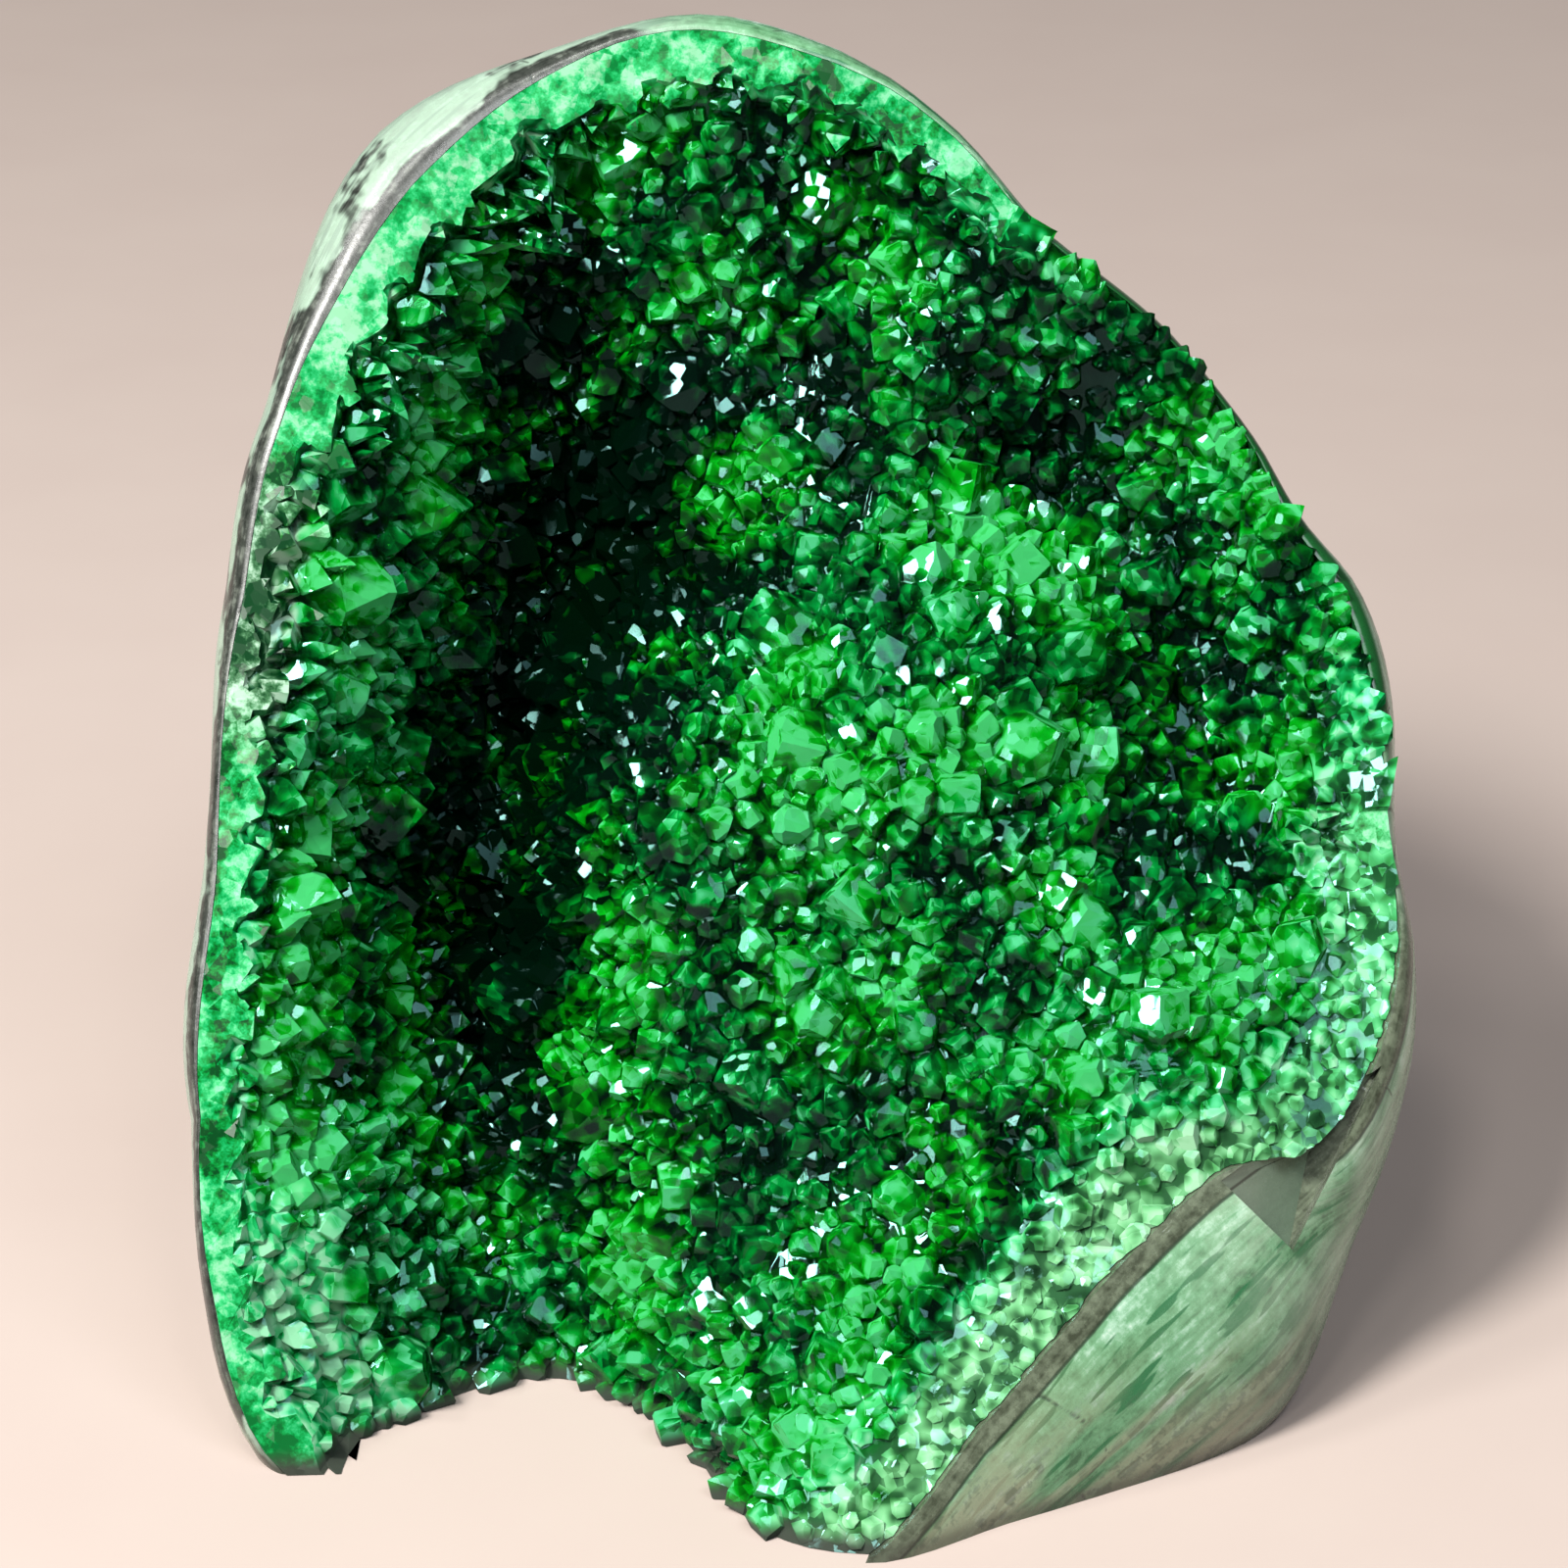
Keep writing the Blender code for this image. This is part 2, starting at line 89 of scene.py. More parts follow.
# Heights of the crust under its crystals, as (u, v, n).
LEFT_WALL = (
    (-0.036, 0.020, -0.003), (-0.038, 0.038, -0.005), (-0.036, 0.056, -0.008),
    (-0.034, 0.072, -0.010), (-0.032, 0.086, -0.011), (-0.027, 0.097, -0.013),
)
DEEP_VALLEY = (
    (-0.021, 0.104, -0.019), (-0.019, 0.090, -0.024), (-0.017, 0.074, -0.027),
    (-0.022, 0.060, -0.028), (-0.026, 0.046, -0.026), (-0.028, 0.033, -0.021),
    (-0.024, 0.019, -0.017), (-0.022, 0.006, -0.012), (-0.021, -0.006, -0.009),
)
MIDDLE_RIDGE = (
    (-0.014, 0.062, -0.009), (-0.014, 0.052, -0.004), (-0.013, 0.042, -0.005),
    (-0.015, 0.032, -0.008), (-0.012, 0.022, -0.006), (-0.011, 0.012, -0.006),
    (-0.009, 0.002, -0.005),
)
UPPER_SLOPE = (
    (-0.009, 0.100, -0.014), (-0.008, 0.086, -0.019), (0.002, 0.094, -0.018),
    (0.004, 0.104, -0.016), (0.012, 0.091, -0.013), (0.002, 0.078, -0.015),
    (-0.005, 0.070, -0.015), (0.008, 0.068, -0.008), (0.022, 0.070, -0.012),
)
SIDE_VALLEY = (
    (0.020, 0.084, -0.020), (0.028, 0.078, -0.019), (0.030, 0.090, -0.016),
    (0.033, 0.066, -0.018), (0.040, 0.070, -0.015), (0.035, 0.054, -0.013),
    (0.042, 0.060, -0.012),
)
MIDDLE_LUMPS = (
    (0.008, 0.057, 0.000), (0.020, 0.055, -0.004), (0.000, 0.050, -0.002),
    (0.010, 0.044, -0.001), (0.026, 0.042, -0.001), (0.038, 0.044, -0.005),
    (0.040, 0.034, -0.002),
)
RIGHT_FOOT = (
    (0.030, 0.030, 0.003), (0.020, 0.028, 0.003), (0.004, 0.030, -0.001),
    (0.014, 0.020, 0.003), (0.024, 0.018, 0.005), (0.004, 0.014, 0.004),
    (0.012, 0.008, 0.008), (-0.002, 0.020, 0.000), (-0.006, 0.010, 0.000),
    (0.002, 0.002, 0.009), (-0.004, -0.001, 0.005),
)
RELIEF_POINTS = (
    LEFT_WALL + DEEP_VALLEY + MIDDLE_RIDGE + UPPER_SLOPE + SIDE_VALLEY + MIDDLE_LUMPS + RIGHT_FOOT
)
SLOPE_STEP = 0.0005

# Shell: the points round it, the depth of the crust in it and the gap between the two, the rings of its
# hollow, shoulder and back, the middle of the back and how full the back is, and its low swells.
SEGMENTS = 180
CRUST_DEPTH = 0.0035
GAP = 0.00008
HOLLOW_SHARE = 0.985
HOLLOW_RINGS = 14
SHOULDER_RINGS = 14
BACK_RINGS = 26
BACK_POLE = (0.002, 0.032, -0.047)
BACK_FULLNESS = 1.25
SWELL_HEIGHT = 0.0005
SWELL_TURNS = ((190.0, 70.0, 0.0, 0.0), (0.0, 160.0, -120.0, 1.3))
SHARP_EDGE = math.radians(28.0)
BEHIND_MARGIN = 0.0005

# Streaks run round the shell: the radius of the circle that their pattern is drawn on, and how far the
# pattern moves on for a metre of depth and for one away from the border. The smaller the circle, the longer
# they are.
STREAK_RADIUS = 7.0
STREAK_FALL = (1000.0, 700.0)

# Notch ground into the border at the lower right. Its wall and its ledge are told apart by the number that
# the shell keeps as cut, by which way each faces, so that the ledge can be painted lighter: painted light.
NOTCH_FLOOR = ((0.0428, 0.0258, -0.0035), (0.0412, 0.0182, -0.0030))
NOTCH_ENDS = ((0.0352, 0.0240, 0.0022), (0.0487, 0.0330, -0.0038))
NOTCH_HEIGHT = 0.015
NOTCH_WALL = 1.0
NOTCH_LEDGE = 0.35

# The border is left as it broke between these directions, and ground flat along the rest.
NATURAL_ARC = (10.0, 62.0)
NATURAL_FADE = 8.0
NATURAL_OVERHANG = 0.0020

# Other stretches of the border, in degrees: where each one starts, is whole, begins to end and has ended.
SPILL_ARC = (-104.0, -88.0, -12.0, 6.0)
LOWER_RIGHT_ARC = (-104.0, -84.0, -6.0, 16.0)
PALE_RIGHT_ARC = (-30.0, -10.0, 12.0, 22.0)
FLANK_ARC = (-58.0, -30.0, 20.0, 50.0)
LEFT_FOOT_ARC = (-150.0, -138.0, -122.0, -112.0)
FROST_ARC = (84.0, 104.0, 134.0, 146.0)
WORN_ARC = (140.0, 150.0, 164.0, 174.0)
UPPER_LEFT_ARC = (92.0, 104.0, 225.0, 250.0)

# At the lower right small crystals spill over the border, furthest at the notch: its direction, how far that
# carries along the border, and the reach.
SPILL_RISE = 0.0014
SPILL_OVERHANG = 0.0007
NOTCH_SPILL = (-26.0, 6.0, 0.0024)

# Crust. Between crystals it lies a little under the relief. Along the ground border it stands up to the
# cut as a plain band.
SHEET_SHARES = tuple(k / 16 for k in range(1, 12)) + tuple(0.70 + 0.02 * k for k in range(16))
SHEET_EXCESS = 0.0012
SHEET_SINK = 0.0010
BAND_WIDTH = 0.0022
BAND_FALL = 0.0022
BAND_CRYSTALS = 0.0056
FROST_WIDTH = 0.0016
# Its inner side wavers: how many waves go round the border, where they start and their reach.
BAND_WAVES = ((19, 0.0, 0.0004), (31, 2.0, 0.0004), (67, 1.0, 0.0009), (113, 0.5, 0.0008))

# Room that the crust is trimmed to: how far the cut lies over the border and runs in from it, and the height
# over the relief where nothing is cut.
CUT_RISE = 0.00018
CUT_REACH = 0.0085
CUT_END = 0.0100
CUT_CLEARANCE = 0.0022
LIP_STEP = 0.00002
ROOM_HEIGHT = 0.014

# Crystals by size: spacing, the range of radius, and how many places are tried.
CRYSTAL_SIZES = (
    (0.0074, 0.0022, 0.0032, 2500),
    (0.0026, 0.0013, 0.0020, 20000),
    (0.0017, 0.0009, 0.0013, 70000),
)
SIZE_SWING = 0.25
LEAST_SIZE = 0.6
CRYSTAL_KINDS = 64
CRYSTAL_LEAN = 0.55
CRYSTAL_HEIGHTS = (0.85, 1.2)
CRYSTAL_WIDTHS = (0.82, 1.08)
KIND_HEIGHT = 1.3
RISE_HEIGHT = 1.4
GROUP_CELL = 0.016
LOWEST_CRYSTAL = 0.0004
TIP_SLOPE = math.radians(52.0)
TIP_HEIGHT = 1.35
LARGE_FACE_INSETS = (0.0, 0.20)
SMALL_FACE_INSETS = (-0.28, 0.06)
SMALL_FACE_MISSING = 0.06
SEED = 31

# Distances inside the border between which a change fades out: the lean over the natural edge, and the
# smaller, lower crystals at the lower right.
EDGE_ZONE = (0.001, 0.006)
EDGE_LEAN = 0.5
GRAIN_ZONE = (0.004, 0.010)
GRAIN_SIZE_LOSS = 0.3
GRAIN_HEIGHT_LOSS = 0.38

# Crystals in the ground band run past the cut. Up to UNDER_CUT inside the border, the rest stay under it.
BAND_MARGIN = 0.0006
BAND_RAGGED = 0.001
PAST_CUT = 0.0012
UNDER_CUT = 0.011

# A row of small points leans out over the natural edge: its first and last direction, spacing and distance
# from the face centre, then ranges of radius, place inside the border, lean and height in radii. They stand
# a little sunk in and stray a little from the row's lean.
EDGE_ROW = (3.0, 70.0)
EDGE_SPACING = 0.0020
EDGE_DISTANCE = 0.051
EDGE_RADII = (0.0010, 0.0016)
EDGE_INSETS = (0.0005, 0.0012)
EDGE_LEANS = (0.8, 1.3)
EDGE_REACHES = (1.3, 1.7)
EDGE_SINK = 0.0003
EDGE_WANDER = 0.15

# Places where painted shade darkens the crust more than its depth alone does, or where a negative amount
# lightens it as painted light: u, v, spread and amount.
PAINTED_SHADE_AND_LIGHT_PATCHES = (
    (-0.0185, 0.0980, 0.0055, 0.45), (-0.0175, 0.0800, 0.0070, 0.68), (-0.0190, 0.0620, 0.0070, 0.66),
    (-0.0225, 0.0440, 0.0068, 0.62), (-0.0240, 0.0290, 0.0065, 0.35), (-0.0105, 0.0730, 0.0055, 0.28),
    (-0.0150, 0.0235, 0.0055, 0.20), (0.0222, 0.0850, 0.0060, 0.25), (0.0335, 0.0640, 0.0075, 0.25),
    (0.0048, 0.0920, 0.0050, 0.24), (0.0045, 0.1070, 0.0055, 0.20), (0.0135, 0.0240, 0.0070, 0.32),
    (-0.0063, 0.0240, 0.0060, 0.10), (0.0340, 0.0540, 0.0050, 0.25), (-0.0285, 0.0060, 0.0045, 0.22),
    (-0.0285, 0.0860, 0.0065, -0.24), (-0.0290, 0.0660, 0.0075, -0.22), (-0.0390, 0.0140, 0.0100, -0.36),
    (-0.0370, 0.0600, 0.0100, -0.10), (0.0300, 0.0750, 0.0120, -0.06), (0.0050, 0.0050, 0.0120, -0.10),
    (0.0080, 0.0570, 0.0080, -0.04), (0.0120, 0.0890, 0.0060, -0.08), (0.0300, 0.0330, 0.0080, -0.22),
    (-0.0240, 0.1080, 0.0055, -0.28), (-0.0460, 0.0040, 0.0090, -0.30),
)

# Depths of the relief between which painted shade darkens the quartz in the valley, and how dark that painted
# shade makes it.
SHADED_DEPTHS = (0.010, 0.028)
DEEP_SHADE = 0.40

# Large odd numbers that scatter the tones of the facets.
FACET_SCATTER = (127.1, 311.7, 74.7, 43758.5453)

# How far the milky and the dusty quartz reach from the border: everywhere, more at the lower right, less of
# that at its upper end, and more at the left foot. Then the distances over which each fades.
MILKY_WIDTH = 0.0045
MILKY_LOWER_RIGHT = 0.0060
MILKY_RIGHT_LOSS = 0.0030
MILKY_LEFT_FOOT = 0.0075
RIGHT_RIM = (-38.0, -22.0)
DUST_FADE = (0.004, 0.009)
FOOT_FADE = (0.009, 0.015)

# Quartz: its index of refraction, the tint of its glints, how far its flaws turn them, and the dark
# grey-green that it turns to at the base.
QUARTZ_IOR = 1.54
GLINT_TINT = (0.38, 0.85, 0.80, 1.0)
FLAW_LEAN = 0.34
BASE_DARK = (0.030, 0.036, 0.028, 1.0)

# Size of the block that the base is sawn with.
FLOOR_CUT = 0.3

# Studio: where the lamps point, and the small ones round the key light, for more glints on the crystals.
LAMP_AIM = (0.0, 0.0, 0.05)
SPARKS = (
    (-0.78, -0.38, 0.72), (-0.60, -0.76, 0.55), (-0.18, -0.72, 0.74), (-0.14, -0.34, 0.96),
    (-0.55, -0.12, 0.88), (0.16, -0.62, 0.90), (-0.90, -0.62, 0.45),
)

# Camera: how far up the face the middle of the picture lies, the distance, and the lens in millimetres.
FRAME_MIDDLE = 0.05595
CAMERA_DISTANCE = 0.4
CAMERA_LENS = 113.4


def world(u, v, n):
    """Points of the face frame in metres, with the base on z = 0."""
    u, v, n = np.broadcast_arrays(u, v, n)
    x = u - ORIGIN_SHIFT[0]
    y = v * math.sin(LEAN) - n * math.cos(LEAN) - ORIGIN_SHIFT[1]
    z = v * math.cos(LEAN) + n * math.sin(LEAN)
    return np.stack((x, y, z), axis=-1)


def unit(arrows):
    """The same directions, with a length of 1."""
    return arrows / np.linalg.norm(arrows, axis=-1, keepdims=True)


def face_frame(points):
    """u, v and n of points given in metres."""
    y = points[:, 1] + ORIGIN_SHIFT[1]
    u = points[:, 0] + ORIGIN_SHIFT[0]
    v = y * math.sin(LEAN) + points[:, 2] * math.cos(LEAN)
    n = points[:, 2] * math.sin(LEAN) - y * math.cos(LEAN)
    return u, v, n


def face_point(direction, radius):
    """u and v at directions in degrees and radii from the face centre."""
    angle = np.radians(direction)
    return FACE_CENTRE[0] + radius * np.cos(angle), FACE_CENTRE[1] + radius * np.sin(angle)


def outward(direction):
    """Unit arrows in world axes that point away from the face centre, at directions in degrees."""
    angle = np.radians(direction)
    return world(np.cos(angle), np.sin(angle), 0.0) - world(0.0, 0.0, 0.0)


def face_polar(u, v):
    """Direction in degrees and radius from the face centre."""
    across = u - FACE_CENTRE[0]
    up = v - FACE_CENTRE[1]
    return np.degrees(np.arctan2(up, across)), np.hypot(across, up)


def border_at(direction):
    """The four BORDER values at each direction, on one smooth closed curve."""
    count = len(BORDER)
    starts = (BORDER[:, 0] - BORDER[0, 0]) % 360.0
    ends = np.append(starts[1:], 360.0)
    turn = (np.asarray(direction, float) - BORDER[0, 0]) % 360.0
    i = np.searchsorted(starts, turn, side="right") - 1
    t = ((turn - starts[i]) / (ends[i] - starts[i]))[..., None]
    before, here, after, beyond = (BORDER[(i + k) % count, 1:] for k in (-1, 0, 1, 2))
    slope_here = (after - before) / 2.0
    slope_after = (beyond - here) / 2.0
    curve = (
        (2 * t**3 - 3 * t**2 + 1) * here
        + (t**3 - 2 * t**2 + t) * slope_here
        + (3 * t**2 - 2 * t**3) * after
        + (t**3 - t**2) * slope_after
    )
    return np.moveaxis(curve, -1, 0)


def signed(direction):
    """The same direction, between -180 and 180 degrees."""
    return (np.asarray(direction, float) + 180.0) % 360.0 - 180.0


def along(direction, arc):
    """1 along a stretch of the border and 0 away from it."""
    start, whole, waning, end = arc
    return smooth(direction, start, whole) * (1.0 - smooth(direction, waning, end))


def natural_share(direction):
    """1 where the border is left as it broke, 0 where it is ground."""
    turn = signed(direction)
    outside = np.maximum(np.maximum(NATURAL_ARC[0] - turn, turn - NATURAL_ARC[1]), 0.0)
    return np.maximum(0.0, 1.0 - outside / NATURAL_FADE)


def frost_share(direction):
    """1 at the upper left, where the ground band is widest and palest, -1 where it is worn below that."""
    turn = np.asarray(direction, float) % 360.0
    return along(turn, FROST_ARC) - along(turn, WORN_ARC)


def spill_share(direction):
    """1 at the lower right, where small crystals reach over the border on to the bevel."""
    return along(signed(direction), SPILL_ARC)


def smooth(value, low, high):
    """0 below low, 1 above high and a smooth rise between."""
    share = np.clip((value - low) / (high - low), 0.0, 1.0)
    return share * share * (3.0 - 2.0 * share)


def spline_kernel(distance):
    """The bend of a thin plate at a distance from where it is held."""
    safe = np.maximum(distance, 1e-9)
    return safe**2 * np.log(safe)


class Relief:
    """The smooth surface through every height given for the crust: n as a function of u and v."""

    def __init__(self):
        border_u, border_v = face_point(BORDER[:, 0], BORDER[:, 1])
        edge = np.column_stack((border_u, border_v, BORDER[:, 2]))
        data = np.vstack((np.array(RELIEF_POINTS), edge))
        self.places = data[:, :2]
        count = len(data)
        gaps = np.linalg.norm(self.places[:, None] - self.places[None], axis=2)
        flat = np.column_stack((np.ones(count), self.places))
        system = np.zeros((count + 3, count + 3))
        system[:count, :count] = spline_kernel(gaps)
        system[:count, count:] = flat
        system[count:, :count] = flat.T
        self.weights = np.linalg.solve(system, np.append(data[:, 2], np.zeros(3)))

    def height(self, u, v):
        """n of the surface."""
        u, v = np.broadcast_arrays(np.asarray(u, float), np.asarray(v, float))
        total = self.weights[-3] + self.weights[-2] * u + self.weights[-1] * v
        for (place_u, place_v), weight in zip(self.places, self.weights):
            total = total + weight * spline_kernel(np.hypot(u - place_u, v - place_v))
        return total

    def normal(self, u, v):
        """Outward unit directions in world axes."""
        slope_u = (self.height(u + SLOPE_STEP, v) - self.height(u - SLOPE_STEP, v)) / (2 * SLOPE_STEP)
        slope_v = (self.height(u, v + SLOPE_STEP) - self.height(u, v - SLOPE_STEP)) / (2 * SLOPE_STEP)
        return unit(world(-slope_u, -slope_v, np.ones_like(slope_u)) - world(0.0, 0.0, 0.0))


def swell(u, v, n):
    """The low swells that hand grinding leaves on the shell."""
    return SWELL_HEIGHT * sum(np.sin(a * u + b * v + c * n + start) for a, b, c, start in SWELL_TURNS)


def cut_height(direction):
    """n of the ground cut along the border."""
    return border_at(direction)[1] + GAP + CUT_RISE + SPILL_RISE * spill_share(direction)


def ring_mesh(name, front, rows, back, marks=None):
    """A closed mesh through rings of points, from the front point to the back one. Where marks are given,
    each ring of faces keeps its own as the attribute cut."""
    count = len(rows[0])
    points = np.vstack([front[None]] + list(rows) + [back[None]])
    faces = []
    step = np.arange(count)
    after = (step + 1) % count
    for k in range(len(rows) - 1):
        near = 1 + k * count
        far = near + count
        faces.append(np.column_stack((near + step, far + step, far + after, near + after)))
    quads = np.vstack(faces)
    last = 1 + (len(rows) - 1) * count
    front_fan = np.column_stack((np.zeros(count, int), 1 + step, 1 + after))
    back_fan = np.column_stack((np.full(count, len(points) - 1), last + after, last + step))
    mesh = bpy.data.meshes.new(name)
    polygons = front_fan.tolist() + quads.tolist() + back_fan.tolist()
    mesh.from_pydata(points.tolist(), [], polygons)
    if marks is not None:
        values = np.concatenate([np.full(count, m, np.float32) for m in marks])
        mesh.attributes.new("cut", "FLOAT", "FACE").data.foreach_set("value", values)
    form = bmesh.new()
    form.from_mesh(mesh)
    bmesh.ops.recalc_face_normals(form, faces=form.faces)
    form.to_mesh(mesh)
    form.free()
    return mesh


def keep_attribute(mesh, name, domain, values):
    """Stores one number for each point or face."""
    made = mesh.attributes.get(name) or mesh.attributes.new(name, "FLOAT", domain)
    made.data.foreach_set("value", np.ascontiguousarray(values, np.float32))


def keep_arrows(mesh, name, arrows):
    """Stores one vector for each point."""
    made = mesh.attributes.new(name, "FLOAT_VECTOR", "POINT")
    made.data.foreach_set("vector", arrows.astype(np.float32).ravel())


def read_numbers(mesh, name):
    """The numbers stored under a name."""
    kept = mesh.attributes[name]
    values = np.empty(len(kept.data), np.float32)
    kept.data.foreach_get("value", values)
    return values


def read_points(mesh):
    """The places of a mesh's points."""
    flat = np.empty(len(mesh.vertices) * 3, np.float32)
    mesh.vertices.foreach_get("co", flat)
    return flat.reshape(-1, 3).astype(float)


def shape_solid(name, start, steps):
    """A new mesh: start, with each (operation, tool mesh) applied in turn."""
    scene = bpy.context.scene.collection
    blank = bpy.data.objects.new(name, start)
    scene.objects.link(blank)
    tools = []
    for number, (operation, tool_mesh) in enumerate(steps):
        tool = bpy.data.objects.new(f"{name}_tool_{number}", tool_mesh)
        scene.objects.link(tool)
        tools.append(tool)
        modifier = blank.modifiers.new(f"step {number}", "BOOLEAN")
        modifier.operation = operation
        modifier.solver = "MANIFOLD"
        modifier.object = tool
    shaped = blank.evaluated_get(bpy.context.evaluated_depsgraph_get())
    mesh = bpy.data.meshes.new_from_object(shaped)
    for spent in tools + [blank]:
        bpy.data.objects.remove(spent)
    mesh.name = name
    return mesh


def keep_largest_body(mesh):
    """Removes the chips that a cut leaves loose."""
    form = bmesh.new()
    form.from_mesh(mesh)
    waiting = set(form.verts)
    bodies = []
    while waiting:
        body = []
        front = [waiting.pop()]
        while front:
            point = front.pop()
            body.append(point)
            for edge in point.link_edges:
                other = edge.other_vert(point)
                if other in waiting:
                    waiting.remove(other)
                    front.append(other)
        bodies.append(body)
    bodies.sort(key=len)
    for body in bodies[:-1]:
        bmesh.ops.delete(form, geom=body, context="VERTS")
    form.to_mesh(mesh)
    form.free()


def floor_block(name, top):
    """A block under the height top, to saw the base with."""
    form = bmesh.new()
    bmesh.ops.create_cube(form, size=FLOOR_CUT)
    bmesh.ops.translate(form, verts=form.verts, vec=(0, 0, top - FLOOR_CUT / 2))
    mesh = bpy.data.meshes.new(name)
    form.to_mesh(mesh)
    form.free()
    return mesh


def notch_wedge(name):
    """The wedge ground out of the shell's border."""
    form = bmesh.new()
    for u, v, n in NOTCH_FLOOR + NOTCH_ENDS:
        form.verts.new(world(u, v, n))
        form.verts.new(world(u, v, n + NOTCH_HEIGHT))
    bmesh.ops.convex_hull(form, input=form.verts)
    bmesh.ops.delete(form, geom=[v for v in form.verts if not v.link_faces], context="VERTS")
    bmesh.ops.recalc_face_normals(form, faces=form.faces)
    mesh = bpy.data.meshes.new(name)
    form.to_mesh(mesh)
    form.free()
    # Faces are told apart by which way they face, so that the ledge can carry painted light.
    across = np.array([face.normal.x for face in mesh.polygons])
    keep_attribute(mesh, "cut", "FACE", np.where(across > 0.0, NOTCH_WALL, NOTCH_LEDGE))
    return mesh


def hollow_rows(relief, directions, lift, inset):
    """Rings of the shell's hollow from the centre outwards, raised by lift."""
    border = border_at(directions)[0]
    rows = []
    for k in range(1, HOLLOW_RINGS + 1):
        radius = border * k / HOLLOW_RINGS * HOLLOW_SHARE
        height = relief.height(*face_point(directions, radius)) - CRUST_DEPTH + lift
        u, v = face_point(directions, radius - inset * (k == HOLLOW_RINGS))
        rows.append(world(u, v, height))
    centre = world(*FACE_CENTRE, relief.height(*FACE_CENTRE) - CRUST_DEPTH + lift)
    return centre, rows


def make_shell(relief, directions):
    """The rock: hollow, shoulder and back, with its notch ground and its base sawn."""
    border, border_n, outer, outer_n = border_at(directions)
    front, rows = hollow_rows(relief, directions, 0.0, 0.0)
    for k in range(SHOULDER_RINGS + 1):
        turn = k / SHOULDER_RINGS * math.pi / 2
        radius = border + (outer - border) * math.sin(turn)
        n = outer_n + (border_n - outer_n) * math.cos(turn)
        radius = radius + swell(*face_point(directions, radius), n) * math.sin(turn)
        rows.append(world(*face_point(directions, radius), n))
    for k in range(1, BACK_RINGS):
        turn = k / BACK_RINGS * math.pi / 2
        depth = math.sin(turn) ** BACK_FULLNESS
        n = outer_n + (BACK_POLE[2] - outer_n) * depth
        radius = outer * math.cos(turn) ** (1 / BACK_FULLNESS)
        radius = radius + swell(*face_point(directions, radius), n)
        u, v = face_point(directions, radius)
        shift_u = (BACK_POLE[0] - FACE_CENTRE[0]) * depth
        shift_v = (BACK_POLE[1] - FACE_CENTRE[1]) * depth
        rows.append(world(u + shift_u, v + shift_v, n))
    blank = ring_mesh("rock_blank", front, rows, world(*BACK_POLE))
    steps = (("DIFFERENCE", notch_wedge("notch_wedge")), ("DIFFERENCE", floor_block("base_cut", 0.0)))
    mesh = shape_solid("polished_rock_shell", blank, steps)
    mark_shell(mesh, relief)
    mesh.shade_smooth()
    mesh.set_sharp_from_angle(angle=SHARP_EDGE)
    return mesh


def mark_shell(mesh, relief):
    """Keeps on each point how far it lies outside the crust's border, in millimetres, which stretches of the
    border it belongs to, and where it lies on the pattern of the streaks."""
    u, v, n = face_frame(read_points(mesh))
    direction, radius = face_polar(u, v)
    border, border_n = border_at(direction)[:2]
    outside = np.hypot(radius - border, np.minimum(n - border_n, 0.0))
    behind = n < relief.height(u, v) - CRUST_DEPTH - BEHIND_MARGIN
    keep_attribute(mesh, "outside", "POINT", np.where((radius > border) | behind, outside, 0.0) * 1000.0)
    keep_attribute(mesh, "flank", "POINT", along(direction, FLANK_ARC))
    keep_attribute(mesh, "natural", "POINT", natural_share(direction))
    keep_attribute(mesh, "lower_right", "POINT", spill_share(direction))
    keep_attribute(mesh, "upper_left", "POINT", along(direction % 360.0, UPPER_LEFT_ARC))
    down = (border_n - n) * STREAK_FALL[0] + (radius - border) * STREAK_FALL[1]
    turn = np.radians(direction)
    run = np.column_stack((np.cos(turn), np.sin(turn), down / STREAK_RADIUS)) * STREAK_RADIUS
    keep_arrows(mesh, "run", run)


def sheet_heights(relief, directions, radius):
    """Top of the crust between its crystals."""
    border = border_at(directions)[0]
    ground = 1.0 - natural_share(directions)
    width = BAND_WIDTH + FROST_WIDTH * frost_share(directions)
    for count, start, reach in BAND_WAVES:
        width = width + reach * np.sin(np.radians(directions) * count + start)
    banded = 1.0 - smooth(border - radius, width, width + BAND_FALL)
    raised = ground * banded * (1.0 - spill_share(directions))
    low = relief.height(*face_point(directions, radius)) - SHEET_SINK
    return low + (cut_height(directions) + SHEET_EXCESS - low) * raised


def make_sheet(relief, directions):
    """The sheet that the crystals grow from, wider and deeper than the room it is trimmed to."""
    border = border_at(directions)[0] + SHEET_EXCESS
    top = []
    bottom = []
    for share in SHEET_SHARES:
        u, v = face_point(directions, border * share)
        top.append(world(u, v, sheet_heights(relief, directions, border * share)))
    for share in SHEET_SHARES[::-2]:
        u, v = face_point(directions, border * share)
        bottom.append(world(u, v, relief.height(u, v) - CRUST_DEPTH - SHEET_EXCESS))
    middle = relief.height(*FACE_CENTRE)
    front = world(*FACE_CENTRE, middle - SHEET_SINK)
    back = world(*FACE_CENTRE, middle - CRUST_DEPTH - SHEET_EXCESS)
    return ring_mesh("crust_sheet", front, top + bottom, back)


